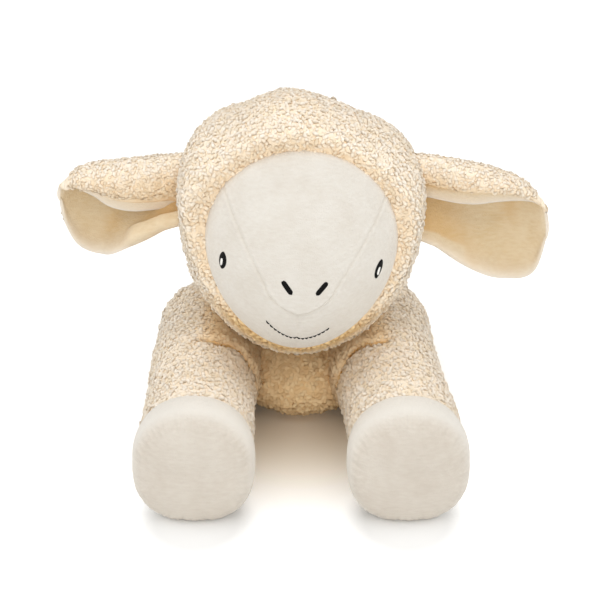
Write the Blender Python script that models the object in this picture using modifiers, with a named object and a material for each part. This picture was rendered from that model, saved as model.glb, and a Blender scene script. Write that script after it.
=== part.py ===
"""Plush lamb that lies on its belly with its front legs stretched forward.

Metres, +Z up. The lamb looks along -Y, and its left side is at +X. The origin lies between its
shoulders, on the flat patch of the belly that it rests on. Every soft form is one stuffed shape: a
fabric cover with its pile, and the stuffing inside it.
"""

import math

import bmesh
import bpy
from mathutils import Matrix, Vector

# Fabrics, and the gap that two touching pieces keep
CLEARANCE = 0.0003
PILE = 0.006
BACKING = 0.0012
BRUSHED_FABRIC = 0.0012
FLAT_DEPTH = 0.0005

# Torso
TORSO_FRONT_Y = -0.055
TORSO_LENGTH = 0.173
TORSO_HALF_WIDTH = 0.066
TORSO_HEIGHT = 0.094
BELLY_PANEL_HEIGHT = 0.013
TORSO_SEGMENTS = 20
TORSO_RINGS = 15

# Head: a ball with an egg-shaped muzzle that points forward and down
HEAD_CENTRE_Y = -0.026
HEAD_CENTRE_Z = 0.1235
HEAD_HALF_WIDTH = 0.0625
HEAD_HALF_HEIGHT = 0.0655
HEAD_BACK_LENGTH = 0.0605
MUZZLE_LENGTH = 0.079
MUZZLE_DROP_DEG = 25.0
MUZZLE_SIDE_TAPER_SHARE = 0.20
MUZZLE_HEIGHT_TAPER_SHARE = 0.16
HEAD_ROLL_DEG = 3.6
HEAD_SEGMENTS = 24
HEAD_RINGS = 16

# Face: the smooth front of the head, cut off by one plane
FACE_PLANE_DISTANCE = 0.042
FACE_TILT_DEG = 13.0
NOSE_PANEL_TOP_HALF_WIDTH = 0.0375
NOSE_PANEL_TOP_Z = 0.0233
NOSE_PANEL_LOW_HALF_WIDTH = 0.0185
NOSE_PANEL_LOW_Z = -0.006
NOSE_PANEL_TIP_Z = -0.0194
NOSE_ARC_STEPS = 12
SEAM_GAP = 0.0003

# Embroidery stands on the face
THREAD_HEIGHT = 0.0008
EYE_X = 0.0417
EYE_Z = -0.0015
EYE_HEIGHT = 0.0105
EYE_WIDTH = 0.0046
HIGHLIGHT_HEIGHT = 0.0055
HIGHLIGHT_WIDTH = 0.0014
NOSTRIL_TOP_X = 0.0113
NOSTRIL_TOP_Z = -0.0005
NOSTRIL_LOW_X = 0.0060
NOSTRIL_LOW_Z = -0.0068
NOSTRIL_WIDTH = 0.0028
MOUTH_HALF_WIDTH = 0.0170
MOUTH_END_Z = -0.0285
MOUTH_MIDDLE_Z = -0.0358
MOUTH_NOTCH = 0.001
MOUTH_LINE_WIDTH = 0.0010
MOUTH_STEPS = 6
HIGHLIGHT_DROP = 0.0008
OVAL_STEPS = 14
NOSTRIL_SHARES = (0.0, 0.12, 0.5, 0.88, 1.0)
NOSTRIL_WIDTH_SHARES = (0.35, 0.9, 1.0, 0.9, 0.35)

# Neck: a firmly stuffed ball between torso and head
NECK_BALL_RADIUS = 0.020
NECK_LEAN_DEG = 35.0
NECK_GAP = 0.0025
NECK_SEGMENTS = 16
MERGE_DISTANCE = 0.00001

# Ears: a leaf-shaped fleece back that hooks over its top edge, with a smooth lining
EAR_LENGTH = 0.064
EAR_STANDOFF = 0.003
EAR_ROOT_BACK = 0.004
EAR_ROOT_UP = 0.017
EAR_DROOP_DEG = 7.0
EAR_TOP = 0.019
EAR_BOTTOM = 0.038
EAR_HALF_DEPTH = 0.011
EAR_ROOT_RADIUS = 0.008
EAR_FLEECE = 0.004
EAR_STATIONS = 8
EAR_TIP_SHARE = 0.85
EAR_DEPTH_SHARES = ((0.0, 0.33), (0.08, 0.36), (0.3, 0.9), (0.5, 1.0), (0.78, 0.7), (1.0, 0.15))
EAR_TOP_SHARES = ((0.0, 1.0), (0.3, 1.0), (0.55, 0.95), (0.8, 0.66), (1.0, 0.15))
EAR_BOTTOM_SHARES = ((0.0, 0.6), (0.25, 0.78), (0.5, 1.0), (0.8, 0.68), (1.0, 0.15))
EAR_SECTION_SHARES = (
    (-0.75, -0.12), (-1.0, 0.3), (-0.75, 0.8), (0.0, 1.0), (0.75, 0.7), (0.95, 0.0), (0.8, -0.4),
    (0.4, -0.8), (-0.2, -1.0),
)

# Front legs
FRONT_SHOULDER_X = 0.054
FRONT_SHOULDER_Y = 0.005
FRONT_LEG_RADIUS = 0.0315
FRONT_LEG_LENGTH = 0.1475
FRONT_LEG_SPLAY_DEG = 1.3

# Hind legs
HIND_HIP_X = 0.039
HIND_HIP_Y = 0.097
HIND_LEG_RADIUS = 0.027
HIND_LEG_LENGTH = 0.083

# Hooves and leg openings, alike on all four legs
HOOF_DEPTH = 0.025
SOLE_DOME = 0.005
LEG_OPENING_RADIUS = 0.009
LEG_SEGMENTS = 16
ROOT_STEPS = 4
SOCKET_SEGMENTS = 20
LEG_SWELL_SHARES = ((0.0, 0.94), (0.3, 0.96), (0.6, 0.99), (0.85, 1.015), (1.0, 1.015))
LEG_THIN_SHARE = 0.6
HOOF_SEAM_SHARE = 0.98
HOOF_SHARES = ((0.0, 0.985), (0.3, 1.03), (0.7, 1.045), (1.0, 1.01))
SOLE_SHARES = (0.0, 0.4, 0.75, 1.0)

# Tail
TAIL_ROOT_Y = 0.1185
TAIL_ROOT_Z = 0.073
TAIL_LENGTH = 0.034
TAIL_HALF_WIDTH = 0.0105
TAIL_ROOT_RADIUS = 0.0075
TAIL_ANGLE_DEG = 40.0
TAIL_PILE = 0.003
TAIL_OPENING_RADIUS = 0.002
TAIL_SHARES = ((0.0, 0.714), (0.3, 0.85), (0.6, 1.0), (0.8, 0.86), (0.93, 0.56), (1.0, 0.0))

FLEECE = ((0.84, 0.76, 0.62), 0.95)
BRUSHED = ((0.86, 0.82, 0.75), 0.85)
LINING = ((0.76, 0.61, 0.41), 0.85)
FIBRE = ((0.90, 0.90, 0.88), 1.0)
BLACK_THREAD = ((0.01, 0.01, 0.01), 0.5)
WHITE_THREAD = ((0.88, 0.88, 0.86), 0.5)


def clear_scene():
    for thing in list(bpy.data.objects):
        bpy.data.objects.remove(thing, do_unlink=True)


def new_collection(name):
    made = bpy.data.collections.new(name)
    bpy.context.scene.collection.children.link(made)
    return made


clear_scene()
LAMB = new_collection("plush_lamb")
CUTTERS = new_collection("cutters")


def finish_of(name, finish):
    colour, roughness = finish
    material = bpy.data.materials.new(name + "_finish")
    material.use_nodes = True
    shader = material.node_tree.nodes["Principled BSDF"]
    shader.inputs["Base Color"].default_value = (*colour, 1.0)
    shader.inputs["Roughness"].default_value = roughness
    shader.inputs["Metallic"].default_value = 0.0
    return material


def object_from(bm, name, collection, place=None):
    mesh = bpy.data.meshes.new(name)
    bm.to_mesh(mesh)
    bm.free()
    made = bpy.data.objects.new(name, mesh)
    collection.objects.link(made)
    if place is not None:
        made.matrix_world = place
    return made


def piece(bm, name, finish, place=None):
    made = object_from(bm, name, LAMB, place)
    made.data.materials.append(finish_of(name, finish))
    made.data.shade_smooth()
    return made


def cutter(bm, name, place=None):
    made = object_from(bm, name, CUTTERS, place)
    made.display_type = "WIRE"
    made.hide_render = True
    return made


def boolean(target, tool, operation):
    step = target.modifiers.new(f"{operation.lower()} {tool.name}", "BOOLEAN")
    step.operation = operation
    step.object = tool


def cut_away(target, *tools):
    for tool in tools:
        boolean(target, tool, "DIFFERENCE")


def keep_inside(target, *tools):
    for tool in tools:
        boolean(target, tool, "INTERSECT")


def smooth_value(stations, share):
    """A smooth curve through (share, value) stations, flat-sided like a hand-drawn outline."""
    last = len(stations) - 1
    at = 0
    while at < last - 1 and share > stations[at + 1][0]:
        at += 1
    (s0, v0), (s1, v1) = stations[at], stations[at + 1]
    before = stations[max(at - 1, 0)]
    after = stations[min(at + 2, last)]
    slope0 = (v1 - before[1]) / (s1 - before[0])
    slope1 = (after[1] - v0) / (after[0] - s0)
    span = s1 - s0
    u = (share - s0) / span
    return (
        v0 * (1 + 2 * u) * (1 - u) ** 2
        + slope0 * span * u * (1 - u) ** 2
        + v1 * u * u * (3 - 2 * u)
        + slope1 * span * u * u * (u - 1)
    )


def ball_mesh(shape, segments, rings, offset=0.0):
    """A unit ball with its poles on Y, reshaped by a function and grown by an offset."""
    bm = bmesh.new()
    turn = Matrix.Rotation(math.pi / 2, 4, "X")
    bmesh.ops.create_uvsphere(bm, u_segments=segments, v_segments=rings, radius=1.0, matrix=turn)
    for vert in bm.verts:
        vert.co = shape(vert.co.copy())
    bmesh.ops.triangulate(bm, faces=bm.faces)
    bmesh.ops.recalc_face_normals(bm, faces=bm.faces)
    bm.normal_update()
    moves = [vert.normal * offset for vert in bm.verts]
    for vert, move in zip(bm.verts, moves):
        vert.co += move
    return bm


def hollow_mesh(shape, segments, rings, outer, inner):
    """A cover: the reshaped ball grown by outer, with the one grown by inner as its inside."""
    bm = ball_mesh(shape, segments, rings, outer)
    inside = ball_mesh(shape, segments, rings, inner)
    bmesh.ops.reverse_faces(inside, faces=inside.faces)
    mesh = bpy.data.meshes.new("inside")
    inside.to_mesh(mesh)
    inside.free()
    bm.from_mesh(mesh)
    bpy.data.meshes.remove(mesh)
    return bm


def box_mesh(low, high):
    bm = bmesh.new()
    bmesh.ops.create_cube(bm, size=1.0)
    low, high = Vector(low), Vector(high)
    middle, size = (low + high) / 2, high - low
    for vert in bm.verts:
        vert.co = Vector(a * b for a, b in zip(vert.co, size)) + middle
    return bm


def round_mesh(radius, segments=48, rings=24):
    bm = bmesh.new()
    bmesh.ops.create_uvsphere(bm, u_segments=segments, v_segments=rings, radius=radius)
    return bm


def rod_mesh(radius, start, end, segments=48):
    """A closed cylinder along Z from start to end."""
    bm = bmesh.new()
    bmesh.ops.create_cone(
        bm, cap_ends=True, segments=segments, radius1=radius, radius2=radius, depth=end - start
    )
    bmesh.ops.translate(bm, verts=bm.verts, vec=(0, 0, (start + end) / 2))
    return bm


REACH = TORSO_LENGTH * 2

# Torso outline along its length. The first share is the place, -1 at the chest and 1 at the rump, as an
# angle's share of a right angle, so that both ends are round. The second is a share of width or height.
TORSO_WIDTH_SHARES = (
    (-1.0, 0.0), (-0.7, 0.42), (-0.33, 0.83), (0.0, 0.985), (0.15, 1.0), (0.5, 0.80), (0.7, 0.54),
    (1.0, 0.0),
)
TORSO_TOP_SHARES = (
    (-1.0, 0.234), (-0.7, 0.38), (-0.33, 0.53), (0.0, 0.80), (0.2, 0.935), (0.4, 1.0), (0.7, 0.82),
    (1.0, 0.468),
)
TORSO_LOW_SHARES = (
    (-1.0, 0.24), (-0.8, 0.095), (-0.62, 0.02), (-0.48, 0.0), (0.5, 0.0), (0.68, 0.128), (1.0, 0.468),
)


def torso_shape(point):
    """Places a point of the unit ball, whose poles lie on Y, on the torso's pile."""
    along = max(-1.0, min(1.0, point.y))
    share = math.asin(along) / (math.pi / 2)
    around = Vector((point.x, 0.0, point.z))
    if around.length > 0:
        around.normalize()
    width = TORSO_HALF_WIDTH * smooth_value(TORSO_WIDTH_SHARES, share)
    top = TORSO_HEIGHT * smooth_value(TORSO_TOP_SHARES, share)
    low = TORSO_HEIGHT * smooth_value(TORSO_LOW_SHARES, share) - FLAT_DEPTH
    y = TORSO_FRONT_Y + TORSO_LENGTH * (1 + along) / 2
    return Vector((width * around.x, y, (top + low) / 2 + (top - low) / 2 * around.z))


HEAD_FRAME = (
    Matrix.Translation((0, HEAD_CENTRE_Y, HEAD_CENTRE_Z))
    @ Matrix.Rotation(math.radians(HEAD_ROLL_DEG), 4, "Y")
)
MUZZLE_TURN = Matrix.Rotation(math.radians(MUZZLE_DROP_DEG), 3, "X")


def head_shape(point):
    """Places a point of the unit ball on the head's fabric, about the head's own centre."""
    forward = max(0.0, -point.y)
    length = MUZZLE_LENGTH if point.y < 0 else HEAD_BACK_LENGTH
    side = HEAD_HALF_WIDTH * (1 - MUZZLE_SIDE_TAPER_SHARE * forward ** 2)
    height = HEAD_HALF_HEIGHT * (1 - MUZZLE_HEIGHT_TAPER_SHARE * forward ** 2)
    return MUZZLE_TURN @ Vector((point.x * side, point.y * length, point.z * height))


def head_cover(outer, inner):
    return hollow_mesh(head_shape, HEAD_SEGMENTS, HEAD_RINGS, outer, inner)


def face_box(distance):
    """Everything in front of the face's seam with the hood, at a distance from the head's centre."""
    return box_mesh((-REACH, -REACH, -REACH), (REACH, -distance, REACH))


def nose_outline(inset):
    """The centre panel's outline from the front: straight sides that run down into a round nose."""
    slope = (NOSE_PANEL_TOP_HALF_WIDTH - NOSE_PANEL_LOW_HALF_WIDTH) / (NOSE_PANEL_TOP_Z - NOSE_PANEL_LOW_Z)
    top_half = NOSE_PANEL_LOW_HALF_WIDTH + slope * (REACH - NOSE_PANEL_LOW_Z) - inset
    half = NOSE_PANEL_LOW_HALF_WIDTH - inset
    drop = NOSE_PANEL_LOW_Z - NOSE_PANEL_TIP_Z - inset
    outline = [(top_half, REACH)]
    for step in range(NOSE_ARC_STEPS + 1):
        angle = math.pi * step / NOSE_ARC_STEPS
        outline.append((half * math.cos(angle), NOSE_PANEL_LOW_Z - drop * math.sin(angle)))
    outline.append((-top_half, REACH))
    return outline


def prism_mesh(outline):
    """A closed prism in front of the head, whose outline is seen from the front."""
    bm = bmesh.new()
    front = [bm.verts.new((x, -REACH, z)) for x, z in outline]
    face = bm.faces.new(front)
    made = bmesh.ops.extrude_face_region(bm, geom=[face])
    moved = [item for item in made["geom"] if isinstance(item, bmesh.types.BMVert)]
    bmesh.ops.translate(bm, verts=moved, vec=(0, REACH, 0))
    bmesh.ops.recalc_face_normals(bm, faces=bm.faces)
    return bm


def stroke_outline(points, half_widths):
    """The outline of a sewn stroke along points in X and Z, as wide as it is at each of them."""
    right, left = [], []
    for at, point in enumerate(points):
        before = Vector(points[max(at - 1, 0)])
        after = Vector(points[min(at + 1, len(points) - 1)])
        along = (after - before).normalized()
        across = Vector((along.y, -along.x)) * half_widths[at]
        right.append(tuple(Vector(point) + across))
        left.append(tuple(Vector(point) - across))
    return right + left[::-1]


def oval_outline(x, z, half_width, half_height):
    steps = [2 * math.pi * step / OVAL_STEPS for step in range(OVAL_STEPS)]
    return [(x + half_width * math.cos(a), z + half_height * math.sin(a)) for a in steps]


# Head pieces share one frame, and hang on an empty at the neck, which is what the head turns about
def head_piece(bm, name, finish):
    made = piece(bm, name, finish, HEAD_FRAME)
    made.parent = HEAD_PIVOT
    made.matrix_parent_inverse = HEAD_PIVOT.matrix_world.inverted()
    return made


def neck_place():
    """The middle of the neck, on the head's underside, with its Z axis up the neck."""
    lean = math.radians(NECK_LEAN_DEG)
    out = HEAD_HALF_HEIGHT + PILE + NECK_GAP / 2
    centre = HEAD_FRAME @ Vector((0, out * math.sin(lean), -out * math.cos(lean)))
    return Matrix.Translation(centre) @ HEAD_FRAME.to_3x3().to_4x4() @ Matrix.Rotation(lean, 4, "X")


def circumscribed(radius, segments):
    """The radius of a faceted ball whose flat facets stay outside a true ball."""
    return radius / math.cos(math.pi / segments) ** 2


def socket_mesh(radius):
    """The ball-shaped space that a stuffed ball of this radius sits in."""
    wide = circumscribed(radius + CLEARANCE, SOCKET_SEGMENTS)
    return round_mesh(wide, SOCKET_SEGMENTS, SOCKET_SEGMENTS // 2)


NECK_FRAME = neck_place()
HEAD_PIVOT = bpy.data.objects.new("neck_pivot", None)
LAMB.objects.link(HEAD_PIVOT)
HEAD_PIVOT.matrix_world = NECK_FRAME
bpy.context.view_layer.update()

NECK_SOCKET = cutter(socket_mesh(NECK_BALL_RADIUS), "neck_socket", NECK_FRAME)


def build_neck():
    piece(round_mesh(NECK_BALL_RADIUS, NECK_SEGMENTS, NECK_SEGMENTS // 2), "neck", FLEECE, NECK_FRAME)


def ear_frame(side):
    """The ear's origin on its seam with the hood, with Z up that seam and X square to the head."""
    up = EAR_ROOT_UP
    ball = HEAD_HALF_WIDTH + PILE
    out = math.sqrt(ball ** 2 - up ** 2 - EAR_ROOT_BACK ** 2) + EAR_STANDOFF
    lean = math.asin(up / ball)
    root = Matrix.Translation((side * out, EAR_ROOT_BACK, up))
    return HEAD_FRAME @ root @ Matrix.Rotation(-side * lean, 4, "Y")


def build_face():
    seam = cutter(face_box(FACE_PLANE_DISTANCE + SEAM_GAP), "face_front", FACE_FRAME)
    nose = cutter(prism_mesh(nose_outline(SEAM_GAP)), "nose_prism", HEAD_FRAME)
    nose_gap = cutter(prism_mesh(nose_outline(0)), "nose_gap", HEAD_FRAME)

    panel = head_piece(head_cover(0, -BRUSHED_FABRIC), "nose_panel", BRUSHED)
    keep_inside(panel, seam, nose)
    for side, name in ((1, "left"), (-1, "right")):
        cheek = head_piece(head_cover(0, -BRUSHED_FABRIC), f"cheek_{name}", BRUSHED)
        keep_inside(cheek, seam, HALVES[side])
        cut_away(cheek, nose_gap)


def build_hood():
    front = cutter(face_box(FACE_PLANE_DISTANCE), "hood_front", FACE_FRAME)
    for side, name in ((1, "left"), (-1, "right")):
        hood = head_piece(head_cover(PILE, -BACKING), f"hood_{name}", FLEECE)
        keep_inside(hood, HALVES[side])
        cut_away(hood, front, NECK_SOCKET, EAR_GROOVES[side])
    stuffing = head_piece(
        ball_mesh(head_shape, HEAD_SEGMENTS, HEAD_RINGS, -BACKING - CLEARANCE), "head_stuffing", FIBRE
    )
    cut_away(stuffing, NECK_SOCKET)


def sewn(name, finish, outline, *holes):
    """Thread that lies on the face inside an outline seen from the front."""
    made = head_piece(head_cover(CLEARANCE + THREAD_HEIGHT, CLEARANCE), name, finish)
    keep_inside(made, cutter(prism_mesh(outline), name + "_outline", HEAD_FRAME))
    for hole in holes:
        cut_away(made, cutter(prism_mesh(hole), name + "_hole", HEAD_FRAME))


def build_embroidery():
    for side, name in ((1, "left"), (-1, "right")):
        x = side * EYE_X
        highlight_z = EYE_Z - HIGHLIGHT_DROP
        sewn(
            f"eye_{name}", BLACK_THREAD,
            oval_outline(x, EYE_Z, EYE_WIDTH / 2, EYE_HEIGHT / 2),
            oval_outline(x, highlight_z, HIGHLIGHT_WIDTH / 2 + SEAM_GAP, HIGHLIGHT_HEIGHT / 2 + SEAM_GAP),
        )
        sewn(
            f"eye_highlight_{name}", WHITE_THREAD,
            oval_outline(x, highlight_z, HIGHLIGHT_WIDTH / 2, HIGHLIGHT_HEIGHT / 2),
        )
        top = Vector((side * NOSTRIL_TOP_X, NOSTRIL_TOP_Z))
        low = Vector((side * NOSTRIL_LOW_X, NOSTRIL_LOW_Z))
        points = [tuple(top.lerp(low, share)) for share in NOSTRIL_SHARES]
        widths = [NOSTRIL_WIDTH / 2 * share for share in NOSTRIL_WIDTH_SHARES]
        sewn(f"nostril_{name}", BLACK_THREAD, stroke_outline(points, widths))
    points, widths = [], []
    for step in range(-MOUTH_STEPS, MOUTH_STEPS + 1):
        share = step / MOUTH_STEPS
        notch = MOUTH_NOTCH if step == 0 else 0
        z = MOUTH_MIDDLE_Z + (MOUTH_END_Z - MOUTH_MIDDLE_Z) * share ** 2 + notch
        points.append((MOUTH_HALF_WIDTH * share, z))
        widths.append(MOUTH_LINE_WIDTH / 2)
    sewn("mouth", BLACK_THREAD, stroke_outline(points, widths))


def ear_sheet(side, shift):
    """The ear as an open sheet: along its length, closer together at its round tip, and round from its
    front lip over the top edge and down its back. It is shifted along its normals."""
    bm = bmesh.new()
    rows = []
    tip_angle = EAR_TIP_SHARE * math.pi / 2
    for station in range(EAR_STATIONS):
        share = station / (EAR_STATIONS - 1)
        reach_share = math.sin(share * tip_angle) / math.sin(tip_angle)
        along = -EAR_ROOT_RADIUS + reach_share * (EAR_LENGTH + EAR_ROOT_RADIUS - EAR_FLEECE)
        beyond = max(0.0, along)
        sag = beyond * math.tan(math.radians(EAR_DROOP_DEG) + math.asin(EAR_ROOT_UP / HEAD_HALF_WIDTH))
        row = []
        for y_share, z_share in EAR_SECTION_SHARES:
            depth = EAR_HALF_DEPTH * smooth_value(EAR_DEPTH_SHARES, share)
            if z_share > 0:
                reach = (EAR_TOP - EAR_FLEECE) * smooth_value(EAR_TOP_SHARES, share)
            else:
                reach = EAR_BOTTOM * smooth_value(EAR_BOTTOM_SHARES, share)
            row.append(bm.verts.new((side * along, depth * y_share, reach * z_share - sag)))
        rows.append(row)
    for inner, outer in zip(rows, rows[1:]):
        for a, b, c, d in zip(inner, outer, outer[1:], inner[1:]):
            bm.faces.new((a, b, c, d) if side > 0 else (d, c, b, a))
    bmesh.ops.triangulate(bm, faces=bm.faces)
    bm.normal_update()
    moves = [vert.normal * shift for vert in bm.verts]
    for vert, move in zip(bm.verts, moves):
        vert.co += move
    return bm


def thicken(target, thickness, side):
    step = target.modifiers.new("fabric", "SOLIDIFY")
    step.thickness = thickness
    step.offset = side


def build_ear(side, name):
    place = EAR_FRAMES[side]
    root = cutter(rod_mesh(EAR_ROOT_RADIUS, -REACH, REACH), f"ear_root_{name}", place)
    ends = (-REACH, 0) if side > 0 else (0, REACH)
    trim = cutter(box_mesh((ends[0], -REACH, -REACH), (ends[1], REACH, REACH)), f"ear_trim_{name}", place)
    cut_away(trim, root)
    back = piece(ear_sheet(side, 0), f"ear_back_{name}", FLEECE, place)
    thicken(back, EAR_FLEECE, 1)
    lining = piece(ear_sheet(side, -CLEARANCE), f"ear_lining_{name}", LINING, place)
    thicken(lining, BRUSHED_FABRIC, -1)
    for sheet in (back, lining):
        cut_away(sheet, trim)


def turned(points, name, segments, place, closed):
    """Points (distance from the axis, height), which run up the outer side, turned about Z. Edges that
    lie on the axis are left out."""
    bm = bmesh.new()
    verts = [bm.verts.new((x, 0, z)) for x, z in reversed(points)]
    pairs = list(zip(verts, verts[1:]))
    if closed:
        pairs.append((verts[-1], verts[0]))
    for a, b in pairs:
        if a.co.x > 0 or b.co.x > 0:
            bm.edges.new((a, b))
    mesh = bpy.data.meshes.new(name)
    bm.to_mesh(mesh)
    bm.free()
    made = bpy.data.objects.new(name, mesh)
    made.matrix_world = place
    turn = made.modifiers.new("turn", "SCREW")
    turn.axis = "Z"
    turn.angle = 2 * math.pi
    turn.steps = segments
    turn.render_steps = segments
    turn.use_merge_vertices = True
    turn.merge_threshold = MERGE_DISTANCE
    turn.use_normal_calculate = True
    turn.use_smooth_shade = True
    return made


def turned_piece(points, name, finish, place, closed=True):
    made = turned(points, name, LEG_SEGMENTS, place, closed)
    LAMB.objects.link(made)
    made.data.materials.append(finish_of(name, finish))
    return made


def root_arc(radius, opening, steps):
    """The round root of a limb, from its opening to its widest ring."""
    start = -math.acos(opening / radius)
    angles = [start * (1 - step / steps) for step in range(steps)]
    return [(radius * math.cos(a), radius * math.sin(a)) for a in angles]


def sleeve_outline(radius, seam):
    """A leg's fleece from its widest root ring to its seam with the hoof: radius and distance."""
    return [(radius * swell, share * seam) for share, swell in LEG_SWELL_SHARES]


def limb_space(name, place, radius, length):
    """The space that a leg needs in the torso: a ball about its pivot, and its tube away from it."""
    outline = [
        (circumscribed(wide + CLEARANCE, SOCKET_SEGMENTS), along)
        for wide, along in sleeve_outline(radius, length - HOOF_DEPTH)
    ]
    points = root_arc(outline[0][0], 0, SOCKET_SEGMENTS // 4) + outline
    points += [(outline[-1][0], REACH), (0, REACH)]
    made = turned(points, f"{name}_space", SOCKET_SEGMENTS, place, False)
    CUTTERS.objects.link(made)
    made.display_type = "WIRE"
    made.hide_render = True
    return made


def build_leg(name, place, radius, length):
    wall = PILE + BACKING
    seam = length - HOOF_DEPTH
    edge = length - SOLE_DOME - BRUSHED_FABRIC - SEAM_GAP
    hoof = edge - seam
    seam_radius = radius * HOOF_SEAM_SHARE

    def sleeve(inset, seam_inset):
        points = []
        for wide, along in sleeve_outline(radius, seam):
            near_seam = max(0.0, (along / seam - LEG_THIN_SHARE) / (1 - LEG_THIN_SHARE))
            points.append((wide - inset + near_seam * (inset - seam_inset), along))
        return points

    root_radius = radius * LEG_SWELL_SHARES[0][1]
    seam_wall = radius * LEG_SWELL_SHARES[-1][1] - seam_radius + BRUSHED_FABRIC
    outer = root_arc(root_radius, LEG_OPENING_RADIUS, ROOT_STEPS) + sleeve(0, 0)
    inner = root_arc(root_radius - wall, LEG_OPENING_RADIUS, ROOT_STEPS) + sleeve(wall, seam_wall)
    cover = turned_piece(outer + inner[::-1], f"{name}_sleeve", FLEECE, place)

    band_outer = [(radius * share, seam + SEAM_GAP + (hoof - SEAM_GAP) * at) for at, share in HOOF_SHARES]
    band_inner = [(x - BRUSHED_FABRIC, z) for x, z in band_outer]
    band = turned_piece(band_outer + band_inner[::-1], f"{name}_hoof_band", BRUSHED, place)

    sole_radius = radius * HOOF_SHARES[-1][1]

    def dome(start, reach):
        return [(reach * share, start + SOLE_DOME * (1 - share ** 2)) for share in SOLE_SHARES]

    sole_start = edge + SEAM_GAP
    sole = dome(sole_start + BRUSHED_FABRIC, sole_radius) + dome(sole_start, sole_radius)[::-1]
    turned_piece(sole, f"{name}_sole", BRUSHED, place)

    core = root_radius - wall - CLEARANCE
    filling = root_arc(core, 0, ROOT_STEPS) + sleeve(wall + CLEARANCE, seam_wall + CLEARANCE)
    filling += [(x - CLEARANCE, z) for x, z in band_inner[:-1]]
    filling += dome(edge - CLEARANCE, sole_radius - BRUSHED_FABRIC - CLEARANCE)[::-1]
    turned_piece(filling, f"{name}_stuffing", FIBRE, place, closed=False)
    cut_away(cover, FLOOR)
    cut_away(band, FLOOR)


def build_torso():
    low = BELLY_PANEL_HEIGHT + SEAM_GAP
    parts = (
        ("body_left", (SEAM_GAP / 2, -REACH, low), (REACH, REACH, REACH)),
        ("body_right", (-REACH, -REACH, low), (-SEAM_GAP / 2, REACH, REACH)),
        ("belly", (-REACH, -REACH, 0), (REACH, REACH, BELLY_PANEL_HEIGHT)),
    )
    tools = (*LIMB_SPACES, NECK_SOCKET, TAIL_SOCKET)
    wall = PILE + BACKING
    for name, start, end in parts:
        panel = piece(hollow_mesh(torso_shape, TORSO_SEGMENTS, TORSO_RINGS, 0, -wall), name, FLEECE)
        keep_inside(panel, cutter(box_mesh(start, end), f"{name}_space"))
        cut_away(panel, *tools)
    inside = ball_mesh(torso_shape, TORSO_SEGMENTS, TORSO_RINGS, -wall - CLEARANCE)
    cut_away(piece(inside, "body_stuffing", FIBRE), *tools)


def build_tail():
    wall = BACKING + TAIL_PILE

    def profile(inset, opening):
        points = root_arc(TAIL_ROOT_RADIUS - inset, opening, ROOT_STEPS)
        for share, width in TAIL_SHARES:
            points.append((max(0.0, TAIL_HALF_WIDTH * width - inset), (TAIL_LENGTH - inset) * share))
        return points

    outer = profile(0, TAIL_OPENING_RADIUS)
    inner = profile(wall, TAIL_OPENING_RADIUS)
    turned_piece(outer + inner[::-1], "tail_cover", FLEECE, TAIL_FRAME)
    turned_piece(profile(wall + CLEARANCE, 0), "tail_stuffing", FIBRE, TAIL_FRAME, closed=False)


FACE_FRAME = HEAD_FRAME @ Matrix.Rotation(-math.radians(FACE_TILT_DEG), 4, "X")
LEFT_HALF = box_mesh((SEAM_GAP / 2, -REACH, -REACH), (REACH, REACH, REACH))
RIGHT_HALF = box_mesh((-REACH, -REACH, -REACH), (-SEAM_GAP / 2, REACH, REACH))
HALVES = {
    1: cutter(LEFT_HALF, "head_half_left", HEAD_FRAME),
    -1: cutter(RIGHT_HALF, "head_half_right", HEAD_FRAME),
}
EAR_FRAMES = {side: ear_frame(side) for side in (1, -1)}
EAR_GROOVE_RADIUS = circumscribed(EAR_ROOT_RADIUS + CLEARANCE, SOCKET_SEGMENTS)
EAR_GROOVES = {}
for ear_side, ear_name in ((1, "left"), (-1, "right")):
    groove = rod_mesh(EAR_GROOVE_RADIUS, -REACH / 2, REACH / 2, SOCKET_SEGMENTS)
    EAR_GROOVES[ear_side] = cutter(groove, f"ear_groove_{ear_name}", EAR_FRAMES[ear_side])
FLOOR = cutter(box_mesh((-REACH, -REACH, -REACH), (REACH, REACH, 0)), "floor")
FORWARD = Matrix.Rotation(math.pi / 2, 4, "X")
BACKWARD = Matrix.Rotation(-math.pi / 2, 4, "X")
WIDEST_SHARE = max(share for at, share in HOOF_SHARES)
LEGS = []
for leg_side, side_name in ((1, "left"), (-1, "right")):
    front_axis_z = FRONT_LEG_RADIUS * WIDEST_SHARE - FLAT_DEPTH
    hind_axis_z = HIND_LEG_RADIUS * WIDEST_SHARE - FLAT_DEPTH
    front = Matrix.Translation((leg_side * FRONT_SHOULDER_X, FRONT_SHOULDER_Y, front_axis_z))
    hind = Matrix.Translation((leg_side * HIND_HIP_X, HIND_HIP_Y, hind_axis_z))
    splay = Matrix.Rotation(leg_side * math.radians(FRONT_LEG_SPLAY_DEG), 4, "Z")
    LEGS.append((f"front_leg_{side_name}", front @ splay @ FORWARD, FRONT_LEG_RADIUS, FRONT_LEG_LENGTH))
    LEGS.append((f"hind_leg_{side_name}", hind @ BACKWARD, HIND_LEG_RADIUS, HIND_LEG_LENGTH))
LIMB_SPACES = [limb_space(*leg) for leg in LEGS]
TAIL_FRAME = (
    Matrix.Translation((0, TAIL_ROOT_Y, TAIL_ROOT_Z))
    @ Matrix.Rotation(-math.pi / 2 - math.radians(TAIL_ANGLE_DEG), 4, "X")
)
TAIL_SOCKET = cutter(socket_mesh(TAIL_ROOT_RADIUS), "tail_socket", TAIL_FRAME)

build_hood()
build_face()
build_embroidery()
build_neck()
build_ear(1, "left")
build_ear(-1, "right")
build_torso()
for leg in LEGS:
    build_leg(*leg)
build_tail()
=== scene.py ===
"""Plush lamb that lies on its belly with its front legs stretched forward: how its fabrics look."""

import math

import bmesh
import bpy
import numpy as np
from mathutils import Matrix, Vector
from mathutils.bvhtree import BVHTree


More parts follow.
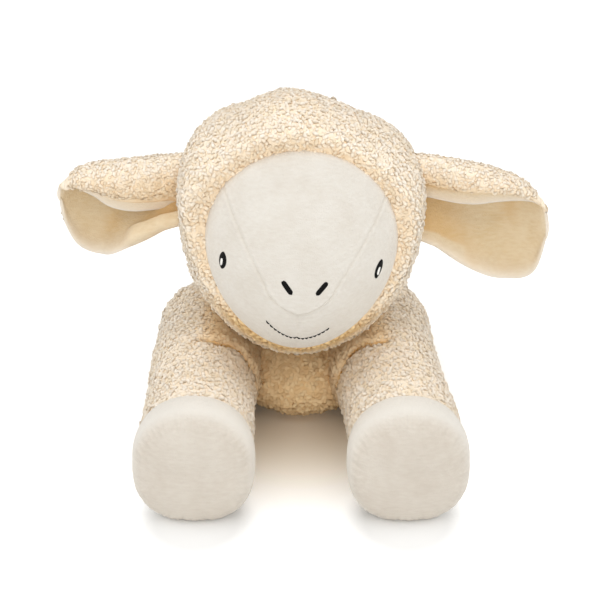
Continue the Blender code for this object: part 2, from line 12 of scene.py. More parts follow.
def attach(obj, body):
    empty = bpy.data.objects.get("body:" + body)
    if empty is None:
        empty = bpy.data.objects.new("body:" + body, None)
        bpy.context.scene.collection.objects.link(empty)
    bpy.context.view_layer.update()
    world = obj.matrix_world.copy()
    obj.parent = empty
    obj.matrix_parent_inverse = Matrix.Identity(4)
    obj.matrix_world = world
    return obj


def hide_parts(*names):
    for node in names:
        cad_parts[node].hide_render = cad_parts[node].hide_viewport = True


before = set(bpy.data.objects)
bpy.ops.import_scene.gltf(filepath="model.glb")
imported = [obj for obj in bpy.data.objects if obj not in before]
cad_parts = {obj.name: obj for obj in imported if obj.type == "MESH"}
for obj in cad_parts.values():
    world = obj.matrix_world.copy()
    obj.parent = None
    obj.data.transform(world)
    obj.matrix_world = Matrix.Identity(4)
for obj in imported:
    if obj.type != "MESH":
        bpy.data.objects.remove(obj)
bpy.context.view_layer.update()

# --- Body ------------------------------------------------------------------------------------------
# The body is a bag of curly sherpa fleece, a short cream pile that is steamed until it curls, sewn
# from two sides and a belly panel, turned and stuffed with loose fibre. It lies on its belly.
TORSO_FRONT_Y = -0.055
TORSO_LENGTH = 0.173
TORSO_HALF_WIDTH = 0.066
TORSO_HEIGHT = 0.094
TORSO_WIDTH = (
    (-1.0, 0.0), (-0.7, 0.42), (-0.33, 0.83), (0.0, 0.985), (0.15, 1.0), (0.5, 0.80), (0.7, 0.54),
    (1.0, 0.0),
)
TORSO_TOP = (
    (-1.0, 0.234), (-0.7, 0.38), (-0.33, 0.53), (0.0, 0.80), (0.2, 0.935), (0.4, 1.0), (0.7, 0.82),
    (1.0, 0.468),
)
TORSO_LOW = (
    (-1.0, 0.24), (-0.8, 0.095), (-0.62, 0.02), (-0.48, 0.0), (0.5, 0.0), (0.68, 0.128), (1.0, 0.468),
)
CURL_ROOTS = 0.0018          # the pile's roots lie this far inside its outer surface
CURL_SPACING = 0.0021
CURL_SIZE = 0.0034
CURL_VARIES = (0.75, 1.2)    # from curl to curl the size lies between these shares
CURL_LEAN = 0.45             # and a curl leans by up to this angle
CLUMP = 0.0042
CLUMP_DEPTH = 0.0011
CLUMP_DRIFT = 0.004          # the clumps' places wander this far
CLUMP_LEVEL = 0.6            # the cloth lies at this share of a clump's height
FINER_CLUMPS = 2.1           # among them lie clumps that are this many times finer
FINER_SHARE = 0.4            # and this much as deep
PILE_SOFT = 0.96             # how much a curl's light follows the cloth under it
PILE_OPEN = 1.0              # the share of a shadow's light that goes on through the loose curls
STRAND_GLOW = 0.5            # the share of a strand's light that comes through its sides from behind
FLOOR_PRESS = 0.0012         # fleece this close to the floor is pressed flat
FLEECE = {
    # painted shade: the root's colour is darker than the tip's, down where the curls shade each other
    "tip": "#fcf3e4", "middle": "#fbefde", "root": "#f6e7ce",
    "shaded": "#f2d29c",     # painted shade in tan, where shade falls on the pile
    # painted shade: the darker tan down between the curls where shade falls
    "ground": "#e4bd84",
    "crease": "#b97d2c",     # painted shade down in the fold where two pieces press on each other
}
FLEECE_UNEVEN = (0.96, 1.02)
PAINTED_SHADE_FULL = 0.75          # painted shade up to this is tan, and beyond it as dark as the painted shade of a fold
CHEST_FORWARD = (-0.045, 0.02)   # the painted shade on the chest, under the head, starts and is full this far forward
CHEST_SIDES = (-0.075, -0.045)
CHEST_PAINTED_SHADE = 0.64


def smooth_curve(stations, at):
    """A smooth curve through (place, value) stations, read at an array of places."""
    place, value = np.array(stations).T
    after = np.minimum(np.arange(len(place)) + 1, len(place) - 1)
    before = np.maximum(np.arange(len(place)) - 1, 0)
    slope = (value[after] - value[before]) / (place[after] - place[before])
    k = np.clip(np.searchsorted(place, at) - 1, 0, len(place) - 2)
    span = place[k + 1] - place[k]
    u = (at - place[k]) / span
    return (
        value[k] * (1 + 2 * u) * (1 - u) ** 2 + slope[k] * span * u * (1 - u) ** 2
        + value[k + 1] * u * u * (3 - 2 * u) + slope[k + 1] * span * u * u * (u - 1)
    )


def soft_step(value, start, end):
    share = np.clip((value - start) / (end - start), 0, 1)
    return share * share * (3 - 2 * share)


def round_bag(level):
    """A unit ball of even triangles: its points and faces."""
    bm = bmesh.new()
    bmesh.ops.create_icosphere(bm, subdivisions=level, radius=1.0)
    points = np.array([vert.co[:] for vert in bm.verts])
    faces = [[vert.index for vert in face.verts] for face in bm.faces]
    bm.free()
    return points, faces


def note(mesh, name, values):
    """Notes a value for each point of a mesh, under a name that patterns and materials read."""
    mesh.attributes.new(name, "FLOAT", "POINT").data.foreach_set("value", values)


def cloth_mesh(name, points, faces, swell=0.0, pile=None, painted_shade=None):
    """A closed mesh whose points are moved along their normals by swell. Pile says where fleece
    stands: 1 where it is full, 0 where it is pressed or ends. The last argument says where painted
    shade, in the tan of the pile's ground, lies on it."""
    mesh = bpy.data.meshes.new(name)
    mesh.from_pydata(np.asarray(points).tolist(), [], faces)
    mesh.update()
    if np.any(swell):
        normals = np.empty(len(mesh.vertices) * 3)
        mesh.vertex_normals.foreach_get("vector", normals)
        moved = points + normals.reshape(-1, 3) * np.asarray(swell).reshape(-1, 1)
        mesh.vertices.foreach_set("co", moved.ravel())
        mesh.update()
    mesh.shade_smooth()
    if pile is not None:
        note(mesh, "pile", pile)
        note(mesh, "painted_shade", np.zeros(len(mesh.vertices)) if painted_shade is None else painted_shade)
    return mesh


def place_piece(name, mesh, body):
    made = bpy.data.objects.new(name, mesh)
    bpy.context.scene.collection.objects.link(made)
    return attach(made, body)


def give(tree, node, inputs):
    """Sets a node's inputs, each to a value, to another node's socket or to a node's first output."""
    for key, value in inputs.items():
        if isinstance(value, bpy.types.Node):
            value = value.outputs[0]
        if isinstance(value, bpy.types.NodeSocket):
            tree.links.new(value, node.inputs[key])
        else:
            node.inputs[key].default_value = value


def add_node(tree, kind, inputs=None, **settings):
    """Adds a node with its settings and inputs."""
    node = tree.nodes.new(kind)
    for key, value in settings.items():
        setattr(node, key, value)
    give(tree, node, inputs or {})
    return node


def linear(hex_colour):
    """An sRGB hex colour as linear RGBA."""
    channels = [int(hex_colour[at:at + 2], 16) / 255 for at in (1, 3, 5)]
    return (*[c / 12.92 if c <= 0.04045 else ((c + 0.055) / 1.055) ** 2.4 for c in channels], 1.0)


def new_material(name):
    material = bpy.data.materials.new(name)
    material.use_nodes = True
    return material, material.node_tree, material.node_tree.nodes["Principled BSDF"]


# Sherpa fleece: acrylic pile steamed into small curls. Dull, warm cream on the tips, with painted shade in
# tan down between the curls and on their sides, and never quite even from curl to curl.
SHERPA, tree, shader = new_material("curly_sherpa_fleece")
noted = {
    name: add_node(tree, "ShaderNodeAttribute", attribute_name=name).outputs
    for name in ("lie", "height", "shade", "painted_shade", "loose")
}
lie = add_node(
    tree, "ShaderNodeVectorTransform", {0: noted["lie"]["Vector"]}, vector_type="NORMAL",
    convert_from="OBJECT", convert_to="WORLD",
)
own = add_node(tree, "ShaderNodeNewGeometry").outputs["Normal"]
agree = add_node(tree, "ShaderNodeVectorMath", {0: own, 1: lie}, operation="DOT_PRODUCT").outputs["Value"]
# painted shade: a curl's sides, which face away from the cloth under it, count as lower down and darker
topmost = add_node(
    tree, "ShaderNodeMapRange", {"Value": agree, "From Min": -0.2, "From Max": 0.5, "To Min": 0.4},
)
height = add_node(tree, "ShaderNodeMath", {0: noted["height"]["Fac"], 1: topmost}, operation="MULTIPLY")
low_part = add_node(tree, "ShaderNodeMapRange", {"Value": height, "From Max": 0.5})
high_part = add_node(tree, "ShaderNodeMapRange", {"Value": height, "From Min": 0.45})
painted_shade = noted["painted_shade"]["Fac"]
partly = add_node(tree, "ShaderNodeMapRange", {"Value": painted_shade, "From Max": PAINTED_SHADE_FULL})
fully = add_node(tree, "ShaderNodeMapRange", {"Value": painted_shade, "From Min": PAINTED_SHADE_FULL})
tones = {name: linear(colour) for name, colour in FLEECE.items()}
# painted shade: darker from tip down to root, and where shade is noted, tan down to the darker fold
for made, share, under, over in (
    ("pale", low_part, "root", "middle"), ("pale", high_part, "pale", "tip"),
    ("tan", low_part, "ground", "shaded"), ("all", partly, "pale", "tan"), ("all", fully, "all", "crease"),
):
    tones[made] = add_node(
        tree, "ShaderNodeMix", {0: share, 6: tones[under], 7: tones[over]}, data_type="RGBA",
    ).outputs[2]
coords = add_node(tree, "ShaderNodeTexCoord").outputs["Object"]
patch = add_node(tree, "ShaderNodeTexNoise", {"Vector": coords, "Scale": 55.0, "Detail": 2.0})
uneven = add_node(tree, "ShaderNodeMath", {0: noted["shade"]["Fac"], 1: patch}, operation="ADD")
level = add_node(
    tree, "ShaderNodeMapRange",
    {"Value": uneven, "From Max": 2.0, "To Min": FLEECE_UNEVEN[0], "To Max": FLEECE_UNEVEN[1]},
)
toned = add_node(tree, "ShaderNodeVectorMath", {0: tones["all"], 1: level}, operation="MULTIPLY")
# Light sinks into the pile, so each curl is lit much like the cloth that it grows on
share = add_node(
    tree, "ShaderNodeMapRange", {"Value": agree, "From Min": -0.6, "From Max": 0.0, "To Max": PILE_SOFT},
)
softer = add_node(tree, "ShaderNodeMix", {0: share, 4: own, 5: lie}, data_type="VECTOR").outputs[1]
softer = add_node(tree, "ShaderNodeVectorMath", {0: softer}, operation="NORMALIZE")
fibre = add_node(tree, "ShaderNodeTexNoise", {"Vector": coords, "Scale": 2200.0, "Detail": 1.0})
ruffle = add_node(
    tree, "ShaderNodeBump", {"Height": fibre, "Strength": 0.15, "Distance": 0.0003, "Normal": softer},
)
give(tree, shader, {
    "Base Color": toned, "Normal": ruffle, "Roughness": 1.0, "Specular IOR Level": 0.05,
    "Sheen Weight": 0.04, "Sheen Roughness": 0.6, "Sheen Tint": linear("#fff4e2"),
})
# and a strand's sides glow with the light that comes through it from behind
through = add_node(
    tree, "ShaderNodeMapRange",
    {"Value": agree, "From Min": -0.2, "From Max": 0.95, "To Min": STRAND_GLOW, "To Max": 0.0},
)
behind = add_node(tree, "ShaderNodeBsdfTranslucent", {"Color": toned})
glowing = add_node(tree, "ShaderNodeMixShader", {0: through, 1: shader, 2: behind})
# and the curls are loose: the light goes on through them, warmer
shadow = add_node(tree, "ShaderNodeLightPath").outputs["Is Shadow Ray"]
open_share = add_node(tree, "ShaderNodeMath", {0: noted["loose"]["Fac"], 1: shadow}, operation="MULTIPLY")
passing = add_node(tree, "ShaderNodeBsdfTransparent", {"Color": linear("#fff0d8")})
mixed = add_node(tree, "ShaderNodeMixShader", {0: open_share, 1: glowing, 2: passing})
give(tree, tree.nodes["Material Output"], {"Surface": mixed})


def new_pattern(name, **inputs):
    """A Geometry Nodes tree with named inputs, and the sockets that they come out of."""
    tree = bpy.data.node_groups.new(name, "GeometryNodeTree")
    for label, kind in {"Geometry": "Geometry", **inputs}.items():
        tree.interface.new_socket(label, in_out="INPUT", socket_type=f"NodeSocket{kind}")
    tree.interface.new_socket("Geometry", in_out="OUTPUT", socket_type="NodeSocketGeometry")
    return tree, add_node(tree, "NodeGroupInput").outputs


def finish_pattern(tree, geometry, material):
    """Ends a tree: everything above the floor, real mesh, smooth, in its material."""
    spot = add_node(tree, "GeometryNodeInputPosition")
    real = add_node(tree, "GeometryNodeRealizeInstances", {0: geometry})
    parts = add_node(tree, "ShaderNodeSeparateXYZ", {0: spot}).outputs
    lifted = add_node(tree, "ShaderNodeMath", {0: parts[2], 1: 0.0}, operation="MAXIMUM")
    kept = add_node(tree, "ShaderNodeCombineXYZ", {0: parts[0], 1: parts[1], 2: lifted})
    placed = add_node(tree, "GeometryNodeSetPosition", {"Geometry": real, "Position": kept})
    smooth = add_node(tree, "GeometryNodeSetShadeSmooth", {"Geometry": placed})
    done = add_node(tree, "GeometryNodeSetMaterial", {"Geometry": smooth, "Material": material})
    add_node(tree, "NodeGroupOutput", {0: done})


# The fleece's ground: the roots of the pile gather into low clumps with dips between them
CLUMPS, given = new_pattern("fleece_clumps", Clump="Float", Depth="Float", Material="Material")
spot = add_node(CLUMPS, "GeometryNodeInputPosition")
drift = add_node(CLUMPS, "ShaderNodeTexNoise", {"Vector": spot, "Scale": 170.0, "Detail": 2.0})
drifted = add_node(
    CLUMPS, "ShaderNodeVectorMath", {0: drift.outputs["Color"], 1: (CLUMP_DRIFT,) * 3, 2: spot},
    operation="MULTIPLY_ADD",
)
wide, narrow = [
    add_node(
        CLUMPS, "ShaderNodeTexVoronoi",
        {"Vector": drifted,
         "Scale": add_node(CLUMPS, "ShaderNodeMath", {0: finer, 1: given["Clump"]}, operation="DIVIDE")},
        feature="SMOOTH_F1",
    ) for finer in (1.0, FINER_CLUMPS)
]
both = add_node(CLUMPS, "ShaderNodeMath", {0: narrow, 1: FINER_SHARE, 2: wide}, operation="MULTIPLY_ADD")
rise = add_node(
    CLUMPS, "ShaderNodeMapRange",
    {"Value": both, "From Min": 0.1, "From Max": 0.95, "To Min": 1.0, "To Max": 0.0},
    interpolation_type="SMOOTHSTEP",
)
pile = add_node(CLUMPS, "GeometryNodeInputNamedAttribute", {"Name": "pile"})
above = add_node(CLUMPS, "ShaderNodeMath", {0: rise, 1: CLUMP_LEVEL}, operation="SUBTRACT")
masked = add_node(CLUMPS, "ShaderNodeMath", {0: above, 1: pile}, operation="MULTIPLY")
lift = add_node(CLUMPS, "ShaderNodeMath", {0: masked, 1: given["Depth"]}, operation="MULTIPLY")
normal = add_node(CLUMPS, "GeometryNodeInputNormal")
move = add_node(CLUMPS, "ShaderNodeVectorMath", {0: normal, "Scale": lift}, operation="SCALE")
ground = add_node(
    CLUMPS, "GeometryNodeStoreNamedAttribute",
    {"Geometry": given["Geometry"], "Name": "lie", "Value": normal}, data_type="FLOAT_VECTOR", domain="POINT",
)
ground = add_node(CLUMPS, "GeometryNodeSetPosition", {"Geometry": ground, "Offset": move})
# the dips are noted as low, for painted shade down between the clumps
depth = add_node(CLUMPS, "ShaderNodeMath", {0: rise, 1: 0.55}, operation="MULTIPLY")
for name, value in (("height", depth), ("shade", 0.5)):
    ground = add_node(
        CLUMPS, "GeometryNodeStoreNamedAttribute", {"Geometry": ground, "Name": name, "Value": value},
        data_type="FLOAT", domain="POINT",
    )
finish_pattern(CLUMPS, ground, given["Material"])

# The curls that stand on the ground: three shapes of a short bent strand, each turned at random. Half
# of them are paler towards their tips, with painted shade towards their roots, and the others have the tone
# of the pile's roots all over.
CURLS, given = new_pattern(
    "fleece_curls", Spacing="Float", Size="Float", Seed="Int", Side="Float", Material="Material",
)
STRAND_RADIUS = 0.40         # of a strand, as a share of the curl's size
STRAND_END = 0.35            # and of its ends, as a share of that
STRAND_BENDS = (             # start, middle and end of each strand, in sizes of the curl
    ((-0.5, 0.0, -0.24), (0.0, 0.25, 0.16), (0.5, 0.05, -0.24)),
    ((-0.5, -0.1, -0.22), (0.05, 0.9, 0.12), (0.5, -0.2, -0.20)),
    ((-0.4, 0.1, -0.24), (0.2, -0.3, 0.22), (0.45, 0.2, -0.16)),
)
FULL_PILE = 0.35             # curls stand where the pile is fuller than this
section = add_node(CURLS, "GeometryNodeCurvePrimitiveCircle", {"Resolution": 5, "Radius": STRAND_RADIUS})
strand_share = add_node(CURLS, "GeometryNodeSplineParameter").outputs["Factor"]
middle_out = add_node(CURLS, "ShaderNodeMath", {0: strand_share, 1: 0.5}, operation="SUBTRACT")
squared = add_node(CURLS, "ShaderNodeMath", {0: middle_out, 1: 2.0}, operation="POWER")
taper = add_node(
    CURLS, "ShaderNodeMapRange", {"Value": squared, "From Max": 0.25, "To Min": 1.0, "To Max": STRAND_END},
)
spot = add_node(CURLS, "GeometryNodeInputPosition")
place = add_node(CURLS, "ShaderNodeSeparateXYZ", {0: spot}).outputs
up_strand = add_node(
    CURLS, "ShaderNodeMapRange", {"Value": place[2], "From Min": -0.20, "From Max": 0.35, "To Min": 0.1},
)
shapes = add_node(CURLS, "GeometryNodeJoinGeometry")
for start, middle, end in reversed(STRAND_BENDS):
    line = add_node(
        CURLS, "GeometryNodeCurveQuadraticBezier",
        {"Resolution": 3, "Start": start, "Middle": middle, "End": end},
    )
    strand = add_node(
        CURLS, "GeometryNodeCurveToMesh",
        {"Curve": line, "Profile Curve": section, "Scale": taper, "Fill Caps": True},
    )
    paler = add_node(     # the paler strand notes how far up it a point lies, for its painted shade
        CURLS, "GeometryNodeStoreNamedAttribute",
        {"Geometry": strand, "Name": "height", "Value": up_strand}, data_type="FLOAT", domain="POINT",
    )
    pair = add_node(CURLS, "GeometryNodeGeometryToInstance", {0: strand})
    give(CURLS, pair, {0: paler})
    give(CURLS, shapes, {0: pair})
on_side = add_node(CURLS, "ShaderNodeMath", {0: place[0], 1: given["Side"]}, operation="MULTIPLY")
right_side = add_node(
    CURLS, "FunctionNodeCompare", {0: on_side, 1: 0.0}, operation="GREATER_EQUAL", data_type="FLOAT",
)
pile = add_node(CURLS, "GeometryNodeInputNamedAttribute", {"Name": "pile"})
stands = add_node(
    CURLS, "FunctionNodeCompare", {0: pile, 1: FULL_PILE}, operation="GREATER_THAN", data_type="FLOAT",
)
chosen = add_node(CURLS, "FunctionNodeBooleanMath", {0: right_side, 1: stands}, operation="AND")
area = add_node(CURLS, "ShaderNodeMath", {0: given["Spacing"], 1: -2.0}, operation="POWER")
dense = add_node(CURLS, "ShaderNodeMath", {0: area, 1: 3.0}, operation="MULTIPLY")
roots = add_node(
    CURLS, "GeometryNodeDistributePointsOnFaces",
    {"Mesh": given["Geometry"], "Selection": chosen, "Distance Min": given["Spacing"],
     "Density Max": dense, "Seed": given["Seed"]},
    distribute_method="POISSON",
)
spin = add_node(
    CURLS, "FunctionNodeRandomValue",
    {0: (-CURL_LEAN, -CURL_LEAN, -math.pi), 1: (CURL_LEAN, CURL_LEAN, math.pi), "Seed": given["Seed"]},
    data_type="FLOAT_VECTOR",
)
turn = add_node(CURLS, "FunctionNodeEulerToRotation", {0: spin})
facing = add_node(
    CURLS, "FunctionNodeRotateRotation", {0: roots.outputs["Rotation"], 1: turn}, rotation_space="LOCAL",
)
vary = add_node(
    CURLS, "FunctionNodeRandomValue", {2: CURL_VARIES[0], 3: CURL_VARIES[1], "Seed": given["Seed"]},
    data_type="FLOAT",
).outputs[1]
grown = add_node(CURLS, "ShaderNodeMath", {0: vary, 1: given["Size"]}, operation="MULTIPLY")
pick = add_node(
    CURLS, "FunctionNodeRandomValue", {4: 0, 5: 2 * len(STRAND_BENDS) - 1, "Seed": given["Seed"]},
    data_type="INT",
).outputs[2]
curls = add_node(
    CURLS, "GeometryNodeInstanceOnPoints",
    {"Points": roots, "Instance": shapes, "Pick Instance": True, "Instance Index": pick,
     "Rotation": facing, "Scale": grown},
)
tone = add_node(CURLS, "FunctionNodeRandomValue", {2: 0.0, 3: 1.0, "Seed": 7}, data_type="FLOAT").outputs[1]
for name, value, kind in (
    ("shade", tone, "FLOAT"), ("lie", roots.outputs["Normal"], "FLOAT_VECTOR"), ("loose", PILE_OPEN, "FLOAT"),
):
    curls = add_node(
        CURLS, "GeometryNodeStoreNamedAttribute", {"Geometry": curls, "Name": name, "Value": value},
        data_type=kind, domain="INSTANCE",
    )
finish_pattern(CURLS, curls, given["Material"])


def run_pattern(name, mesh, tree, values):
    """The plain mesh that a tree makes of a mesh."""
    carrier = bpy.data.objects.new(name, mesh)
    bpy.context.scene.collection.objects.link(carrier)
    step = carrier.modifiers.new(tree.name, "NODES")
    step.node_group = tree
    for item in tree.interface.items_tree:
        if item.in_out == "INPUT" and item.name in values:
            step[item.identifier] = values[item.name]
    ready = bpy.context.evaluated_depsgraph_get()
    made = bpy.data.meshes.new_from_object(
        carrier.evaluated_get(ready), preserve_all_data_layers=True, depsgraph=ready
    )
    made.name = name
    bpy.data.objects.remove(carrier)
    return made


def fleece_piece(name, mesh, body, seed, replaced=(), halves=False, fine=1.0):
    """Curly fleece on a form: its ground, which stands for CAD nodes, and the curls that grow on it."""
    ground = run_pattern(
        f"{name}_fleece", mesh, CLUMPS,
        {"Clump": CLUMP * fine, "Depth": CLUMP_DEPTH * fine, "Material": SHERPA},
    )
    base = place_piece(f"{name}_fleece", ground, body)
    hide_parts(*replaced)
    for side, label in ((1.0, "_left"), (-1.0, "_right")) if halves else ((0.0, ""),):
        curls = run_pattern(
            f"{name}_curls{label}", ground, CURLS,
            {"Spacing": CURL_SPACING * fine, "Size": CURL_SIZE * fine, "Seed": seed, "Side": side,
             "Material": SHERPA},
        )
        place_piece(f"{name}_curls{label}", curls, body)
    return base


bag, bag_faces = round_bag(7)


def torso_points(ball):
    along = np.clip(ball[:, 1], -1, 1)
    share = np.arcsin(along) / (math.pi / 2)
    around = ball[:, [0, 2]] / np.maximum(np.linalg.norm(ball[:, [0, 2]], axis=1), 1e-6)[:, None]
    width = TORSO_HALF_WIDTH * smooth_curve(TORSO_WIDTH, share)
    top = TORSO_HEIGHT * smooth_curve(TORSO_TOP, share)
    low = TORSO_HEIGHT * smooth_curve(TORSO_LOW, share)
    z = (top + low) / 2 + (top - low) / 2 * around[:, 1]
    return np.column_stack([width * around[:, 0], TORSO_FRONT_Y + TORSO_LENGTH * (1 + along) / 2, z])


points = torso_points(bag)
standing = soft_step(points[:, 2], FLOOR_PRESS, FLOOR_PRESS * 3)
# painted shade in tan on the chest, under the head
chest = soft_step(-points[:, 1], *CHEST_FORWARD) * soft_step(-np.abs(points[:, 0]), *CHEST_SIDES)
torso = cloth_mesh("torso", points, bag_faces, -CURL_ROOTS * standing, standing, CHEST_PAINTED_SHADE * chest)
fleece_piece(
    "body", torso, "torso", 11, ("body_left", "body_right", "belly", "body_stuffing"), halves=True,
)

# --- Neck ------------------------------------------------------------------------------------------
# A short firmly stuffed ball of the same fleece joins head and body. The pile hides where it is sewn.
NECK_PLACE = Matrix((
    (0.9980267, 0.0360152, 0.051435, -0.0037419), (0, 0.819152, -0.5735765, 0.0157277),
    (-0.0627905, 0.5724447, 0.8175356, 0.0640243), (0, 0, 0, 1),
))
NECK_RADIUS = 0.031
NECK_HEIGHT_SHARE = 0.8
# painted shade in tan all over the neck, under the head
NECK_PAINTED_SHADE = 0.2
small_bag, small_faces = round_bag(6)


def placed(points, place):
    """Points in a piece's own frame, moved to their place."""
    turn = np.array(place.to_3x3())
    return points @ turn.T + np.array(place.translation)


points = placed(small_bag * NECK_RADIUS * np.array((1, 1, NECK_HEIGHT_SHARE)), NECK_PLACE)
full = np.ones(len(points))
neck = cloth_mesh("neck", points, small_faces, 0.0, full, NECK_PAINTED_SHADE * full)
fleece_piece("neck", neck, "neck", 12, ("neck",))

# --- Head: the hood --------------------------------------------------------------------------------
# The hood is curly fleece, sewn from a left and a right half over the stuffed head. Its edge is sewn
# to the face all round, and the pile rolls over that seam.
PILE = 0.006
HEAD_CENTRE = (0, -0.026, 0.1235)
HEAD_HALF_WIDTH = 0.0625
HEAD_HALF_HEIGHT = 0.0655
HEAD_BACK = 0.0605
MUZZLE_LENGTH = 0.079
MUZZLE_DROP_DEG = 25.0
SIDE_TAPER = 0.20
HEIGHT_TAPER = 0.16
HEAD_ROLL_DEG = 3.6
FACE_SEAM_DISTANCE = 0.042
FACE_TILT_DEG = 13.0
RIM_WIDTH = 0.0055           # over this distance behind the seam the pile rises to its full height
RIM_LEAN = 0.0010            # and there it leans out over the seam
UNDER_FACE = 0.0018          # in front of the seam the form runs on under the face
SEAM_SIDES_BACK = 0.0060     # at its sides the seam bends back
SEAM_TOP_FORWARD = 0.0020    # and at its top it bends forward
CROWN_FULL = (0.0086, 0.0058)  # the stuffing fills the crown out to its left and right, and on top
CROWN_TOP = 0.0052
CROWN_TOP_DEG = 17.0
CROWN_TOP_SPREAD_DEG = 25.0
CROWN_ANGLE_DEG = 60.0
CROWN_SPREAD_DEG = 17.0
CHIN_THIN = 0.0035           # under the chin the pile is squeezed thin
HOOD_SEAM_PAINTED_SHADE = 0.25              # how much painted shade, in the ground's tan, lies at the seam
CHIN_PAINTED_SHADE = 0.75              # and under the chin, where shade falls
HEAD_PLACE = Matrix.Translation(HEAD_CENTRE) @ Matrix.Rotation(math.radians(HEAD_ROLL_DEG), 4, "Y")
MUZZLE_TURN = np.array(Matrix.Rotation(math.radians(MUZZLE_DROP_DEG), 3, "X"))
FACE_OUT = np.array(HEAD_PLACE.to_3x3() @ Matrix.Rotation(-math.radians(FACE_TILT_DEG), 3, "X")
                    @ Vector((0, -1, 0)))


def head_points(ball):
    forward = np.maximum(0, -ball[:, 1])
    length = np.where(ball[:, 1] < 0, MUZZLE_LENGTH, HEAD_BACK)
    side = HEAD_HALF_WIDTH * (1 - SIDE_TAPER * forward ** 2)
    tall = HEAD_HALF_HEIGHT * (1 - HEIGHT_TAPER * forward ** 2)
    own = np.column_stack([ball[:, 0] * side, ball[:, 1] * length, ball[:, 2] * tall]) @ MUZZLE_TURN.T
    return placed(own, HEAD_PLACE)


def beyond_seam(points):
    """How far points lie in front of the seam between hood and face."""
    own = (points - np.array(HEAD_CENTRE)) @ np.array(HEAD_PLACE.to_3x3())
    bend = SEAM_SIDES_BACK * (own[:, 0] / 0.05) ** 2
    bend -= SEAM_TOP_FORWARD * soft_step(own[:, 2], 0.0, 0.05)
    return (points - np.array(HEAD_CENTRE)) @ FACE_OUT - FACE_SEAM_DISTANCE + bend


points = head_points(bag)
behind = -beyond_seam(points)
rising = np.clip(behind / RIM_WIDTH, 0, 1)
rounded = np.sqrt(1 - (1 - rising) ** 2)
lean = RIM_LEAN * rounded * (1 - rising)
swell = -UNDER_FACE + (UNDER_FACE + PILE - CURL_ROOTS) * rounded
from_top = np.degrees(np.arctan2(-bag[:, 0], bag[:, 2]))     # positive towards the right side
outward = rounded * soft_step(np.hypot(bag[:, 0], bag[:, 2]), 0.15, 0.75)   # none at the back
for sign, full in zip((-1, 1), CROWN_FULL[::-1]):
    swell += outward * full * np.exp(-((from_top - sign * CROWN_ANGLE_DEG) / CROWN_SPREAD_DEG) ** 2)
swell += outward * CROWN_TOP * np.exp(-((from_top - CROWN_TOP_DEG) / CROWN_TOP_SPREAD_DEG) ** 2)
own_z = (points - np.array(HEAD_CENTRE)) @ np.array(HEAD_PLACE.to_3x3())[:, 2]
under_chin = soft_step(-own_z, 0.02, 0.045) * soft_step(-behind, -0.022, -0.004)
swell -= rounded * CHIN_THIN * under_chin
# painted shade in tan at the seam and under the chin
near_seam = soft_step(-behind, -0.004, 0.0)
hood = cloth_mesh(
    "hood", points, bag_faces, swell, soft_step(behind, -0.0015, 0.0005),
    np.maximum(HOOD_SEAM_PAINTED_SHADE * near_seam, CHIN_PAINTED_SHADE * under_chin),
)
moved = np.array([vert.co[:] for vert in hood.vertices]) + np.outer(lean, FACE_OUT)
hood.vertices.foreach_set("co", moved.ravel())
hood.update()
fleece_piece("hood", hood, "head", 13, ("hood_left", "hood_right", "head_stuffing"), halves=True)

# --- Head: the face --------------------------------------------------------------------------------
# The face is smooth brushed off-white plush, sewn from a long centre panel that ends in a round nose
# and two cheeks, which meet in a seam under the nose. The seams pull the fabric in a little.
FACE_TUCK = 0.004            # the face runs on under the hood's pile this far
NOSE_TOP_HALF = 0.0375
NOSE_TOP_Z = 0.0233
NOSE_LOW_HALF = 0.0185
NOSE_LOW_Z = -0.006
NOSE_TIP_Z = -0.0194
SEAM_WIDTH = 0.0006
SEAM_DEPTH = 0.0004
SEAM_PUFF = 0.0003
PUCKER = 0.0035
CHIN_SEAM = 0.35             # the seam under the nose is this much of the one round it
NOSE_FULL = 0.0013           # the nose's end stands out this far over the seam
EDGE_SINK = 0.0012           # under the hood's pile the face's edge sinks this far, over this distance
EDGE_WIDTH = 0.004
FACE_PALE = "#ded9d0"
FACE_DEEP = "#d6cfc4"
FACE_SEAM_SHADE = "#b79f78"
SEAM_SHADE = 0.07            # and this much of that painted shade shows in a seam
fine_bag, fine_faces = round_bag(8)


def tip_width(down):
    """The nose's width towards its tip, as a share of its width where the tip starts."""
    return (1 - down ** 1.6) ** 0.7


def seam_lines():
    """The face's seams from the front, in the head's own x and z: round the nose, and down the chin."""
    slope = (NOSE_TOP_HALF - NOSE_LOW_HALF) / (NOSE_TOP_Z - NOSE_LOW_Z)
    steps = [(NOSE_LOW_HALF + slope * rise, NOSE_LOW_Z + rise) for rise in np.linspace(0.07, 0, 30)]
    tip = [(NOSE_LOW_HALF * tip_width(t), NOSE_LOW_Z - (NOSE_LOW_Z - NOSE_TIP_Z) * t) for t in
           1 - np.linspace(1, 0, 24)[1:] ** 2]
    half = steps + tip
    nose = half + [(-x, z) for x, z in reversed(half[:-1])]
    chin = [(0.0, z) for z in np.linspace(NOSE_TIP_Z, NOSE_TIP_Z - 0.06, 20)]
    return np.array(nose), np.array(chin)


def distance_to(line, spots):
    """Each spot's distance to a line of points, and the length along the line to its nearest place."""
    best = np.full(len(spots), 9.0)
    where = np.zeros(len(spots))
    run = 0.0
    for a, b in zip(line, line[1:]):
        step = b - a
        share = np.clip((spots - a) @ step / (step @ step), 0, 1)
        away = np.linalg.norm(spots - a - share[:, None] * step, axis=1)
        nearer = away < best
        best[nearer] = away[nearer]
        where[nearer] = run + share[nearer] * np.linalg.norm(step)
        run += np.linalg.norm(step)
    return best, where


